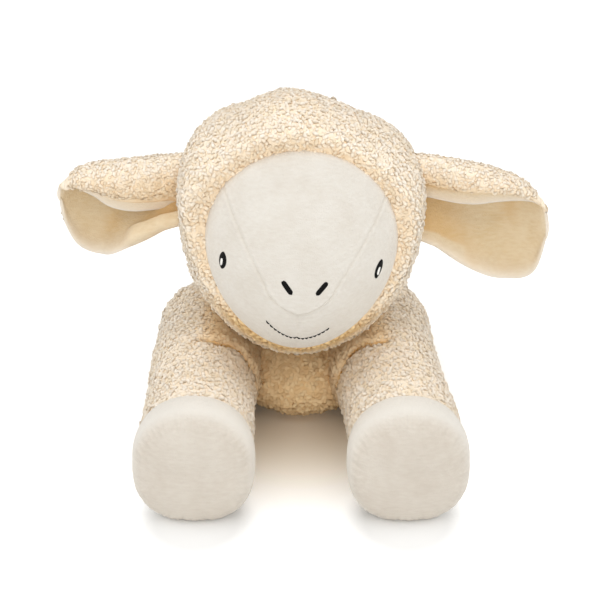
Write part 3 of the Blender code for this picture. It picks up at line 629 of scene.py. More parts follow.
points = head_points(fine_bag)
front = beyond_seam(points) > -FACE_TUCK
keep = [face for face in fine_faces if front[face[0]] and front[face[1]] and front[face[2]]]
used = np.unique(np.array(keep))
renumber = np.full(len(points), -1)
renumber[used] = np.arange(len(used))
points = points[used]
own = (points - np.array(HEAD_CENTRE)) @ np.array(HEAD_PLACE.to_3x3())
spots = own[:, [0, 2]]
sink = np.zeros(len(points))
crease = np.zeros(len(points))
for line, strength in zip(seam_lines(), (1.0, CHIN_SEAM)):
    away, where = distance_to(line, spots)
    if strength == 1.0:
        down = np.clip((NOSE_LOW_Z - spots[:, 1]) / (NOSE_LOW_Z - NOSE_TIP_Z), 0, 1)
        within = np.abs(spots[:, 0]) < NOSE_LOW_HALF * tip_width(down)
        low = soft_step(-spots[:, 1], -NOSE_LOW_Z - 0.012, -NOSE_TIP_Z)
        sink += NOSE_FULL * within * low * soft_step(away, 0.0, 0.0016)
    groove = strength * np.exp(-(away / SEAM_WIDTH) ** 2)
    puff = np.exp(-((away - 3 * SEAM_WIDTH) / (2 * SEAM_WIDTH)) ** 2)
    gather = 0.5 + 0.5 * np.cos(where / PUCKER * 2 * math.pi)
    sink += -SEAM_DEPTH * groove + strength * SEAM_PUFF * puff * (0.55 + 0.45 * gather)
    crease = np.maximum(crease, groove)
edge = np.clip(beyond_seam(points) / EDGE_WIDTH, 0, 1)
sink -= EDGE_SINK * (1 - edge) ** 2
face = cloth_mesh("face", points, renumber[np.array(keep)].tolist(), sink)
bm = bmesh.new()
bm.from_mesh(face)
bmesh.ops.holes_fill(bm, edges=[e for e in bm.edges if e.is_boundary])
bm.to_mesh(face)
bm.free()
face.shade_smooth()
note(face, "crease", np.append(crease, np.zeros(len(face.vertices) - len(crease))))

# Brushed plush: a short polyester pile that is brushed flat. Off-white, soft, with faint streaks where
# the nap lies differently, and a little painted shade down in a seam.
BRUSHED, tree, shader = new_material("brushed_short_plush")
coords = add_node(tree, "ShaderNodeTexCoord").outputs["Object"]
stretched = add_node(tree, "ShaderNodeMapping", {"Vector": coords, "Scale": (0.3, 0.8, 1.0)})
nap = add_node(tree, "ShaderNodeTexNoise", {"Vector": stretched, "Scale": 700.0, "Detail": 3.0})
patch = add_node(tree, "ShaderNodeTexNoise", {"Vector": coords, "Scale": 60.0, "Detail": 2.0})
mixed = add_node(tree, "ShaderNodeMath", {0: nap, 1: patch}, operation="ADD")
level = add_node(tree, "ShaderNodeMapRange", {"Value": mixed, "From Min": 0.7, "From Max": 1.3})
colour = add_node(
    tree, "ShaderNodeMix", {0: level, 6: linear(FACE_DEEP), 7: linear(FACE_PALE)}, data_type="RGBA",
).outputs[2]
# painted shade down in a seam
dark = add_node(tree, "ShaderNodeAttribute", attribute_name="crease").outputs["Fac"]
dark = add_node(tree, "ShaderNodeMath", {0: dark, 1: SEAM_SHADE}, operation="MULTIPLY")
colour = add_node(
    tree, "ShaderNodeMix", {0: dark, 6: colour, 7: linear(FACE_SEAM_SHADE)}, data_type="RGBA",
).outputs[2]
pile_bump = add_node(tree, "ShaderNodeTexNoise", {"Vector": coords, "Scale": 1500.0, "Detail": 2.0})
bump = add_node(tree, "ShaderNodeBump", {"Height": pile_bump, "Strength": 0.6, "Distance": 0.0004})
wide_bump = add_node(
    tree, "ShaderNodeBump", {"Height": nap, "Strength": 0.35, "Distance": 0.0008, "Normal": bump},
)
give(tree, shader, {
    "Base Color": colour, "Normal": wide_bump, "Roughness": 0.9, "Specular IOR Level": 0.2,
    "Sheen Weight": 0.3, "Sheen Roughness": 0.45, "Sheen Tint": linear("#fffaf2"),
})
face.materials.append(BRUSHED)
face_piece = place_piece("face", face, "head")
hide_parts("nose_panel", "cheek_left", "cheek_right")

# --- Head: the embroidery --------------------------------------------------------------------------
# Eyes, nostrils and mouth are machine embroidery: satin stitches of shiny rayon thread laid close side
# by side across each shape, and a single row of stitches for the mouth.
EYE_X = 0.0417
EYE_Z = -0.0015
EYE_HEIGHT = 0.0098
EYE_WIDTH = 0.0042
EYE_LEAN = {1: 0.20, -1: 0.06}
HIGHLIGHT_HEIGHT = 0.0042
HIGHLIGHT_WIDTH = 0.0012
HIGHLIGHT_DROP = 0.0008
HIGHLIGHT_SIDE = -0.0003
NOSTRIL_TOP = (0.0118, -0.0007)
NOSTRIL_LOW = (0.0065, -0.0070)
NOSTRIL_WIDTH = 0.0031
NOSTRIL_SHIFT = 0.0021       # the embroidery sits a little to the left on the nose
MOUTH_HALF_WIDTH = 0.0170
MOUTH_END_Z = -0.0285
MOUTH_MIDDLE_Z = -0.0366
MOUTH_LEAN = -0.0015
MOUTH_NOTCH = 0.001
MOUTH_THREAD = 1.5           # the mouth's thread is this much thicker
THREAD_RADIUS = 0.00024
THREAD_SPACING = 0.00034
surface = BVHTree.FromPolygons([v.co for v in face.vertices], [p.vertices for p in face.polygons])
HEAD_FRONT = HEAD_PLACE.to_3x3() @ Vector((0, 1, 0))

BLACK, tree, shader = new_material("black_rayon_thread")
coords = add_node(tree, "ShaderNodeTexCoord").outputs["Object"]
twist = add_node(tree, "ShaderNodeTexNoise", {"Vector": coords, "Scale": 3000.0, "Detail": 1.0})
bump = add_node(tree, "ShaderNodeBump", {"Height": twist, "Strength": 0.4, "Distance": 0.0002})
give(tree, shader, {
    "Base Color": linear("#0a0908"), "Normal": bump, "Roughness": 0.55, "Specular IOR Level": 0.12,
})
WHITE = BLACK.copy()
WHITE.name = "white_rayon_thread"
give(WHITE.node_tree, WHITE.node_tree.nodes["Principled BSDF"], {"Base Color": linear("#f6f4ee")})

# A satin stitch is a short arched thread between the two ends that are noted for it
STITCHES, given = new_pattern("satin_stitches", Radius="Float", Material="Material")
line = add_node(
    STITCHES, "GeometryNodeCurveQuadraticBezier",
    {"Resolution": 6, "Start": (-0.5, 0, 0), "Middle": (0, 0, 0), "End": (0.5, 0, 0)},
)
section = add_node(STITCHES, "GeometryNodeCurvePrimitiveCircle", {"Resolution": 6, "Radius": 1.0})
straight = add_node(
    STITCHES, "GeometryNodeCurveToMesh",
    {"Curve": line, "Profile Curve": section, "Scale": 1.0, "Fill Caps": True},
)
spot = add_node(STITCHES, "GeometryNodeInputPosition")
along = add_node(STITCHES, "ShaderNodeSeparateXYZ", {0: spot})
squared = add_node(STITCHES, "ShaderNodeMath", {0: along, 1: along}, operation="MULTIPLY")
arch = add_node(
    STITCHES, "ShaderNodeMapRange", {"Value": squared, "From Max": 0.25, "To Min": 1.0, "To Max": -1.2},
)
up = add_node(STITCHES, "ShaderNodeCombineXYZ", {2: arch})
thread = add_node(STITCHES, "GeometryNodeSetPosition", {"Geometry": straight, "Offset": up})
across, out = [
    add_node(STITCHES, "GeometryNodeInputNamedAttribute", {"Name": name}, data_type="FLOAT_VECTOR")
    for name in ("across", "out")
]
length = add_node(STITCHES, "ShaderNodeVectorMath", {0: across}, operation="LENGTH").outputs["Value"]
facing = add_node(
    STITCHES, "FunctionNodeAxesToRotation", {0: out, 1: across}, primary_axis="Z", secondary_axis="X",
)
size = add_node(STITCHES, "ShaderNodeCombineXYZ", {0: length, 1: given["Radius"], 2: given["Radius"]})
rows = add_node(
    STITCHES, "GeometryNodeInstanceOnPoints",
    {"Points": given["Geometry"], "Instance": thread, "Rotation": facing, "Scale": size},
)
finish_pattern(STITCHES, rows, given["Material"])


def on_face(x, z):
    """The place on the face behind a point of the head's own x and z, and its normal."""
    start = HEAD_PLACE @ Vector((x, -0.2, z))
    place, normal, index, away = surface.ray_cast(start, HEAD_FRONT)
    return place, normal


def embroider(name, node, stitches, material, lift=0.0, thick=1.0):
    """Stitches are pairs of ends, seen from the front, in the head's own x and z."""
    spots, acrosses, outs = [], [], []
    for (x0, z0), (x1, z1) in stitches:
        (a, normal_a), (b, normal_b) = on_face(x0, z0), on_face(x1, z1)
        out = (normal_a + normal_b).normalized()
        middle = on_face((x0 + x1) / 2, (z0 + z1) / 2)[0]
        spots.append(middle + out * lift)
        acrosses.append(b - a)
        outs.append(out)
    rows = bpy.data.meshes.new(name)
    rows.from_pydata(spots, [], [])
    for label, values in (("across", acrosses), ("out", outs)):
        rows.attributes.new(label, "FLOAT_VECTOR", "POINT").data.foreach_set(
            "vector", np.array(values).ravel()
        )
    mesh = run_pattern(name, rows, STITCHES, {"Radius": THREAD_RADIUS * thick, "Material": material})
    made = place_piece(name, mesh, "head")
    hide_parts(node)


def oval_stitches(x, z, half_width, half_height, lean):
    """Level stitches across an oval that leans, from its top to its bottom."""
    heights = np.arange(-half_height + THREAD_SPACING / 2, half_height, THREAD_SPACING)
    halves = half_width * np.sqrt(1 - (heights / half_height) ** 2)
    middles = x + lean * heights
    return [((m - half, z + up), (m + half, z + up)) for m, up, half in zip(middles, heights, halves)]


for side, label in ((1, "left"), (-1, "right")):
    x = side * EYE_X
    stitches = oval_stitches(x, EYE_Z, EYE_WIDTH / 2, EYE_HEIGHT / 2, EYE_LEAN[side])
    embroider(f"eye_{label}_thread", f"eye_{label}", stitches, BLACK)
    stitches = oval_stitches(
        x + HIGHLIGHT_SIDE, EYE_Z - HIGHLIGHT_DROP, HIGHLIGHT_WIDTH / 2, HIGHLIGHT_HEIGHT / 2, EYE_LEAN[side],
    )
    embroider(
        f"eye_highlight_{label}_thread", f"eye_highlight_{label}", stitches, WHITE,
        THREAD_RADIUS * 2,
    )
    top, low = Vector(NOSTRIL_TOP), Vector(NOSTRIL_LOW)
    top.x, low.x = top.x * side + NOSTRIL_SHIFT, low.x * side + NOSTRIL_SHIFT
    run = low - top
    sideways = Vector((run.y, -run.x)).normalized()
    stitches = []
    for share in np.arange(0, 1, THREAD_SPACING / run.length):
        half = sideways * NOSTRIL_WIDTH / 2 * (1 - abs(2 * share - 1) ** 6) ** 0.5
        middle = top + run * share
        stitches.append((tuple(middle - half), tuple(middle + half)))
    embroider(f"nostril_{label}_thread", f"nostril_{label}", stitches[1:], BLACK)

curve = []
for share in np.linspace(-1, 1, 17):
    up = MOUTH_MIDDLE_Z + (MOUTH_END_Z - MOUTH_MIDDLE_Z) * share ** 2 + MOUTH_LEAN * share
    curve.append((MOUTH_HALF_WIDTH * share, up + (MOUTH_NOTCH if share == 0 else 0)))
stitches = list(zip(curve, curve[1:]))
embroider("mouth_thread", "mouth", stitches, BLACK, thick=MOUTH_THREAD)

# --- Ears ------------------------------------------------------------------------------------------
# Each ear is a leaf of curly fleece that hooks over its top edge, lined with smooth plush in tan, partly
# painted shade. The lining's edge is rolled and painted pale under the fleece, as painted light. The ear
# is gathered where it meets the hood.
EAR_LENGTH = 0.062
EAR_ROOT_RADIUS = 0.008
EAR_FLEECE = 0.004
EAR_TOP = 0.019
EAR_BOTTOM = 0.038
EAR_HALF_DEPTH = 0.011
EAR_ROOT_UP = 0.017
EAR_DROOP_DEG = 7.0
EAR_TIP_ANGLE = 0.85 * math.pi / 2
EAR_DEPTH = ((0.0, 0.33), (0.08, 0.36), (0.3, 0.9), (0.5, 1.0), (0.78, 0.7), (1.0, 0.15))
EAR_TOP_REACH = {
    1: ((0.0, 1.48), (0.3, 1.52), (0.55, 1.48), (0.8, 1.22), (1.0, 0.60)),
    -1: ((0.0, 1.0), (0.3, 0.88), (0.55, 0.82), (0.8, 0.72), (1.0, 0.25)),
}
EAR_LOW_REACH = {
    1: ((0.0, 0.7), (0.2, 1.0), (0.35, 1.12), (0.5, 1.13), (0.7, 1.05), (0.85, 0.84), (1.0, 0.40)),
    -1: ((0.0, 0.72), (0.2, 1.02), (0.38, 1.13), (0.6, 0.98), (0.8, 0.63), (1.0, 0.20)),
}
EAR_SECTION = (
    (-0.75, -0.12), (-1.0, 0.3), (-0.75, 0.8), (0.0, 1.0), (0.75, 0.7), (0.95, 0.0), (0.8, -0.4),
    (0.4, -0.8), (-0.2, -1.0),
)
EAR_PLACES = {
    1: ((0.9823867, 0, -0.1868594, 0.0701671), (0, 1, 0, -0.022),
        (0.1868594, 0, 0.9823867, 0.1361191), (0, 0, 0, 1)),
    -1: ((0.9512206, 0, 0.3085117, -0.0680323), (0, 1, 0, -0.022),
         (-0.3085117, 0, 0.9512206, 0.1448138), (0, 0, 0, 1)),
}
EAR_CREST = 0.375            # share of the section at which it is highest
HOOK_FORWARD = {1: 0.006, -1: 0.012}         # by its root the ear's lower edge is gathered forward
HOOK_UP = {1: 0.003, -1: 0.008}
HOOK_END = {1: 0.55, -1: 0.45}               # up to this share of its length, and fully to this one
HOOK_FULL = {1: 0.30, -1: 0.25}
HOOK_SECTION = (0.60, 0.98)                  # and from this share of its section to this one
LIP_RISE = {                 # how far up the fleece's front edge lies, from root to tip
    1: ((0.0, 0.004), (0.35, 0.0105), (0.57, 0.0158), (0.76, 0.0170), (0.9, 0.0140), (1.0, 0.0080)),
    -1: ((0.0, -0.0115), (0.3, -0.0070), (0.48, -0.0022), (0.64, 0.0042), (0.86, 0.0060), (1.0, 0.0025)),
}
EAR_ROWS = 72
EAR_COLUMNS = 96
EAR_CAP_ROWS = 8
EAR_SHARES = np.append(np.linspace(0, 1, EAR_ROWS), np.ones(EAR_CAP_ROWS))     # along it, row by row
EAR_CAP = 0.0025
FLEECE_LIP = {1: 0.11, -1: 0.018}            # share of the section where the fleece ends at the front
FLEECE_END = 0.975           # and where it ends along the lower edge, behind the lining
FLEECE_BASE = 0.0004         # the fleece's sewn edge is this thick
FLEECE_RISE = (22, 11)       # and it rises to its full height over these rows and columns
EAR_ROOT_PAINTED_SHADE = 0.45               # painted shade in tan at its front edge by the root
LINING_RISE = (6, 6)
LINING_SEAM = 0.0003         # the lining's edge is sewn this far in
LINING_THICK = 0.0012
LINING_ROLL = 0.0022
LINING_ROLLED = (12, 14)     # its edge is rolled over these rows and columns
LINING_RIM = (16, 20)        # and painted pale over these, as painted light on the rolled edge
LOBE = {1: 0.0, -1: 0.0045}  # by the root one ear's lower edge folds forward into a soft lobe
LOBE_AT = 0.85
LOBE_END = 0.31
EAR_DIMPLE_SHADE = {1: (0.66, 0.62), -1: (0.40, 0.82)}  # painted shade of a dent in the lining, here along the ear and round it
DIMPLE_SIZE = (0.09, 0.10)
EAR_LONGER = {1: 0.0022, -1: 0.0}
LINING_LONGER = 0.0016       # the lining's rolled edge stands out past the fleece at the tip
LINING_EDGE = 0.02           # share of the section that the lining runs out past the sewn edge
# the lining's tan, which is partly painted shade inside the cupped ear
LINING_PALE = "#e2cfae"
LINING_DEEP = "#d8bf96"
# painted light on the rolled edge
LINING_EDGE_PAINTED_LIGHT = "#ece2d4"
LINING_HOLLOW_SHADE = "#d0a35e"    # painted shade towards its root, where no light gets in
HOLLOW_SHADE_SHARE = 0.55          # and this much of that painted shade shows there


def ear_grid(side, first, last, longer=0.0):
    """The ear as an open sheet in its own frame: rows from root to tip, columns round its section."""
    share = EAR_SHARES
    cap = np.append(np.zeros(EAR_ROWS), np.linspace(0, 1, EAR_CAP_ROWS + 1)[1:]) * math.pi / 2 * 0.97
    reach = np.sin(share * EAR_TIP_ANGLE) / math.sin(EAR_TIP_ANGLE)
    along = -EAR_ROOT_RADIUS + reach * (EAR_LENGTH + EAR_ROOT_RADIUS - EAR_FLEECE)
    droop = math.tan(math.radians(EAR_DROOP_DEG) + math.asin(EAR_ROOT_UP / HEAD_HALF_WIDTH))
    sag = np.maximum(along, 0) * droop
    along = along + EAR_CAP * np.sin(cap) + longer * share ** 6
    around = np.linspace(first, last, EAR_COLUMNS)
    marks = np.linspace(0, 1, len(EAR_SECTION))
    y = smooth_curve([(m, p[0]) for m, p in zip(marks, EAR_SECTION)], around)
    z = smooth_curve([(m, p[1]) for m, p in zip(marks, EAR_SECTION)], around)
    depth = EAR_HALF_DEPTH * smooth_curve(EAR_DEPTH, share) * np.cos(cap)
    top = (EAR_TOP - EAR_FLEECE) * smooth_curve(EAR_TOP_REACH[side], share) * np.cos(cap)
    low = EAR_BOTTOM * smooth_curve(EAR_LOW_REACH[side], share) * np.cos(cap)
    grid = np.empty((len(share), len(around), 3))
    grid[..., 0] = (side * along)[:, None]
    grid[..., 1] = depth[:, None] * y
    grid[..., 2] = np.where(z > 0, top[:, None] * z, low[:, None] * z) - sag[:, None]
    hook = soft_step(-share, -HOOK_END[side], -HOOK_FULL[side])[:, None]
    hook = hook * soft_step(around, *HOOK_SECTION)[None, :]
    grid[..., 1] -= HOOK_FORWARD[side] * hook
    grid[..., 2] += HOOK_UP[side] * hook ** 1.5
    own = np.where(z > 0, top[:, None] * z, low[:, None] * z)
    lowest = EAR_SECTION[0][1] * low[:, None]
    up = np.clip((own - lowest) / np.maximum(top[:, None] - lowest, 1e-5), 0, 1)
    lip = smooth_curve(LIP_RISE[side], share)[:, None] * (1 - up) * (around < EAR_CREST)[None, :]
    grid[..., 2] += lip * np.cos(cap)[:, None]
    return grid


def grid_normals(grid, side):
    rows = np.gradient(grid, axis=0)
    columns = np.gradient(grid, axis=1)
    normals = np.cross(rows, columns) * side
    return normals / np.maximum(np.linalg.norm(normals, axis=2), 1e-9)[..., None]


def shell_faces(rows, columns, flip):
    """Faces of a closed shell: an outer grid, an inner one, and the rim that joins them."""
    count = rows * columns
    faces = []
    for r in range(rows - 1):
        for c in range(columns - 1):
            a = r * columns + c
            quad = (a, a + columns, a + columns + 1, a + 1)
            faces.append(quad)
            faces.append(tuple(count + i for i in reversed(quad)))
    loop = [c for c in range(columns)] + [r * columns + columns - 1 for r in range(1, rows)]
    loop += [(rows - 1) * columns + c for c in range(columns - 2, -1, -1)]
    loop += [r * columns for r in range(rows - 2, 0, -1)]
    for a, b in zip(loop, loop[1:] + loop[:1]):
        faces.append((a, b, count + b, count + a))
    return [face[::-1] for face in faces] if flip else faces


def ear_shell(name, side, grid, outer, inner):
    normals = grid_normals(grid, side)
    both = [(grid + normals * shift[..., None]).reshape(-1, 3) for shift in (outer, inner)]
    points = placed(np.concatenate(both), Matrix(EAR_PLACES[side]))
    return points, shell_faces(grid.shape[0], grid.shape[1], side < 0)


def edge_rise(grid_shape, width_rows, width_columns):
    """Rises from 0 at a sheet's tip and long edges to 1 inside it, as a quarter round."""
    rows, columns = grid_shape
    from_tip = np.clip((rows - 1 - np.arange(rows)) / width_rows, 0, 1)[:, None]
    c = np.arange(columns)
    from_edge = np.clip(np.minimum(c, columns - 1 - c) / width_columns, 0, 1)[None, :]
    inside = np.minimum(from_tip, from_edge)
    return np.sqrt(1 - (1 - inside) ** 2)


def like_face(name, deep, pale, edge):
    """The face's plush in other colours. Its edge colour shows fully where a crease is noted: painted light
    on a lining's rolled edge and a hoof's band.
    """
    material = BRUSHED.copy()
    material.name = name
    tree = material.node_tree
    mixes = [node for node in tree.nodes if node.bl_idname == "ShaderNodeMix"]
    give(tree, mixes[0], {6: linear(deep), 7: linear(pale)})
    give(tree, mixes[1], {7: linear(edge)})
    give(tree, mixes[1].inputs[0].links[0].from_node, {1: 1.0})
    return material, tree, mixes[1].outputs[2]


# Ear lining: short brushed plush like the face's, in tan that is partly painted shade inside the cupped ear
LINING, tree, colour = like_face("tan_brushed_plush", LINING_DEEP, LINING_PALE, LINING_EDGE_PAINTED_LIGHT)
hollow_shade = add_node(tree, "ShaderNodeAttribute", attribute_name="hollow_shade").outputs["Fac"]
deeper = add_node(
    tree, "ShaderNodeMix", {0: hollow_shade, 6: colour, 7: linear(LINING_HOLLOW_SHADE)}, data_type="RGBA",
).outputs[2]
give(tree, tree.nodes["Principled BSDF"], {"Base Color": deeper})

for side, label in ((1, "left"), (-1, "right")):
    grid = ear_grid(side, FLEECE_LIP[side], FLEECE_END, EAR_LONGER[side])
    sheet = grid.shape[:2]
    outer = FLEECE_BASE + (EAR_FLEECE - CURL_ROOTS * 0.8) * edge_rise(sheet, *FLEECE_RISE)
    points, faces = ear_shell(f"ear_{label}", side, grid, outer, np.full(outer.shape, -0.0001))
    by_tip = soft_step(edge_rise(sheet, 24, 0.1), 0.8, 0.97)
    by_edge = soft_step(edge_rise(sheet, 0.1, 11), 0.35, 0.8)
    stands = np.concatenate([(by_tip * by_edge).ravel(), np.zeros(outer.size)])
    # painted shade at the front edge, most by the root
    by_lip = soft_step(-np.linspace(FLEECE_LIP[side], FLEECE_END, EAR_COLUMNS), -0.3, -0.1)[None, :]
    root_side = 1 - 0.75 * EAR_SHARES[:, None]
    tan = np.concatenate([(EAR_ROOT_PAINTED_SHADE * by_lip * root_side).ravel(), np.zeros(outer.size)])
    mesh = cloth_mesh(f"ear_{label}", points, faces, 0.0, stands, tan)
    fleece_piece(f"ear_{label}", mesh, f"ear_{label}", 20 + side, (f"ear_back_{label}",), fine=0.85)

    grid = ear_grid(side, -LINING_EDGE, 1.0 + LINING_EDGE, EAR_LONGER[side] + LINING_LONGER)
    sheet = grid.shape[:2]
    rise = edge_rise(sheet, *LINING_RISE)
    rolled = LINING_ROLL * (1 - edge_rise(sheet, *LINING_ROLLED)) * rise
    around = np.linspace(-LINING_EDGE, 1.0 + LINING_EDGE, grid.shape[1])[None, :]
    share = EAR_SHARES[:, None]
    lobe = soft_step(around, LOBE_AT, LOBE_AT + 0.035) * soft_step(-share, -LOBE_END, -LOBE_END + 0.08)
    inner = -LINING_SEAM - LINING_THICK * rise - rolled * 0.4 - LOBE[side] * lobe * rise
    points, faces = ear_shell(f"ear_lining_{label}", side, grid, -LINING_SEAM + rolled, inner)
    mesh = cloth_mesh(f"ear_lining_{label}", points, faces)
    # painted light: the rolled edge is paler, less so on the lobe
    edge_painted_light = 1 - edge_rise(sheet, *LINING_RIM)
    edge_painted_light *= 1 - 0.6 * lobe * (LOBE[side] > 0)
    note(mesh, "crease", np.tile(edge_painted_light.ravel(), 2))
    # painted shade towards the root and in a dent
    hollow_shade = soft_step(-share, -0.42, -0.12) * soft_step(around, 0.02, 0.12) * (1 - lobe)
    (dimple_at, dimple_up), (wide, high) = EAR_DIMPLE_SHADE[side], DIMPLE_SIZE
    dimple_shade = np.exp(-((share - dimple_at) / wide) ** 2 - ((around - dimple_up) / high) ** 2)
    hollow_shade = np.maximum(hollow_shade, 0.6 * dimple_shade)
    note(mesh, "hollow_shade", np.tile((HOLLOW_SHADE_SHARE * hollow_shade * (1 - 0.8 * edge_painted_light)).ravel(), 2))
    mesh.materials.append(LINING)
    lining = place_piece(f"ear_lining_{label}_plush", mesh, f"ear_{label}")
    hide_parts(f"ear_lining_{label}")

# --- Legs ------------------------------------------------------------------------------------------
# Each leg is a stuffed sleeve of curly fleece that swells towards its hoof. The hoof is brushed plush:
# a band round the end of the sleeve, and a round sole whose seam with the band is gathered a little.
HOOF_DEPTH = 0.025
SOLE_DOME = 0.005
LEG_SWELL = ((0.0, 0.94), (0.3, 0.96), (0.6, 0.99), (0.85, 1.015), (1.0, 1.015))
HOOF_SWELL = ((0.0, 0.985), (0.3, 1.03), (0.6, 1.035), (0.85, 1.0), (1.0, 0.94))
HOOF_DOME = 0.0072           # the sole stands out this far
HOOF_SQUARE = 2.45           # the hoof is pressed a little square at the floor
HOOF_SPREAD = 0.09           # and spreads there by this share of its radius
HOOF_TOE = 0.004             # its sole leans out this far at the floor
HOOF_PALE = "#d6cec2"
HOOF_DEEP = "#cdc3b6"
HOOF_BAND_PAINTED_LIGHT = "#e3ded5"        # the band, which faces up, is painted paler, as painted light
LEG_STEP = 0.0012
HOOF_STEP = 0.0008
SEAM_DIP = 0.0011
GATHERS = ((46, 2.5, 0.00022), (17, 1.3, 0.00025))     # fine and broad: how many, their shift, how deep
GATHER_REACH = 0.0045
SHOULDER_FULL = 0.0018       # the stuffing fills the shoulder out
SHOULDER_IN = {"front_leg_left": 0.0075}  # this shoulder is sewn in closer to the middle
LEG_INNER_PAINTED_SHADE = 0.35             # how much painted shade, in the ground's tan, lies on a leg's inner side
LEG_TOUCH_PAINTED_SHADE = 0.6              # and where it touches the body
BEHIND_FOLD_PAINTED_SHADE = 0.5             # and behind the fold
FOLD_REACH = 0.0028          # where a leg lies this close to the body its pile takes painted shade
FOLD_AT = 0.0610             # a front leg is sewn to the chest here: a fold round its top and inner side
FOLD_DEPTH = 0.0020
FOLD_WIDTH = 0.0015
FOLD_WAVE = (0.0015, 260)    # the fold waves this far to and fro, this fast
BEHIND_FOLD = 0.0016         # and the cloth behind the fold is fuller
FRONT_LEG = (0.0315, 0.1475)
HIND_LEG = (0.027, 0.083)
LEG_PLACES = {
    "front_leg_left": (FRONT_LEG, ((0.9997426, 0, 0.0226874, 0.054), (0.0226874, 0, -0.9997426, 0.005),
                                   (0, 1, 0, 0.0324175), (0, 0, 0, 1))),
    "front_leg_right": (FRONT_LEG, ((0.9997426, 0, -0.0226874, -0.054), (-0.0226874, 0, -0.9997426, 0.005),
                                    (0, 1, 0, 0.0324175), (0, 0, 0, 1))),
    "hind_leg_left": (HIND_LEG, ((1, 0, 0, 0.039), (0, 0, 1, 0.097), (0, -1, 0, 0.027715), (0, 0, 0, 1))),
    "hind_leg_right": (HIND_LEG, ((1, 0, 0, -0.039), (0, 0, 1, 0.097), (0, -1, 0, 0.027715), (0, 0, 0, 1))),
}


def even_line(points, step):
    """A line of points, read again at even steps along it."""
    points = np.array(points)
    run = np.append(0, np.cumsum(np.linalg.norm(np.diff(points, axis=0), axis=1)))
    at = np.linspace(0, run[-1], max(int(run[-1] / step), 4) + 1)
    return np.column_stack([np.interp(at, run, points[:, k]) for k in range(2)])


def turned_points(profile, step):
    """A profile (radius, distance), which starts and ends on the axis, turned about the axis."""
    around = int(2 * math.pi * profile[:, 0].max() / step)
    angles = np.arange(around) * 2 * math.pi / around
    inner = profile[1:-1]
    x = inner[:, 0][:, None] * np.cos(angles)
    y = inner[:, 0][:, None] * np.sin(angles)
    z = np.repeat(inner[:, 1][:, None], around, axis=1)
    points = np.stack([x, y, z], axis=2).reshape(-1, 3)
    points = np.concatenate([points, [(0, 0, profile[0, 1]), (0, 0, profile[-1, 1])]])
    start, end = len(points) - 2, len(points) - 1
    faces = []
    for r in range(len(inner) - 1):
        for c in range(around):
            d = (c + 1) % around
            faces.append((r * around + c, r * around + d, (r + 1) * around + d, (r + 1) * around + c))
    last = (len(inner) - 1) * around
    for c in range(around):
        d = (c + 1) % around
        faces.append((start, d, c))
        faces.append((last + c, last + d, end))
    return points, faces


def points_side(points, place):
    """How far out from the lamb's middle points of a leg lie."""
    return placed(points, place)[:, 0] * np.sign(place.translation.x)


torso_surface = BVHTree.FromPolygons(torso_points(bag).tolist(), bag_faces)
# The hooves' plush is like the face's, a little warmer
HOOF_PLUSH = like_face("warm_brushed_plush", HOOF_DEEP, HOOF_PALE, HOOF_BAND_PAINTED_LIGHT)[0]

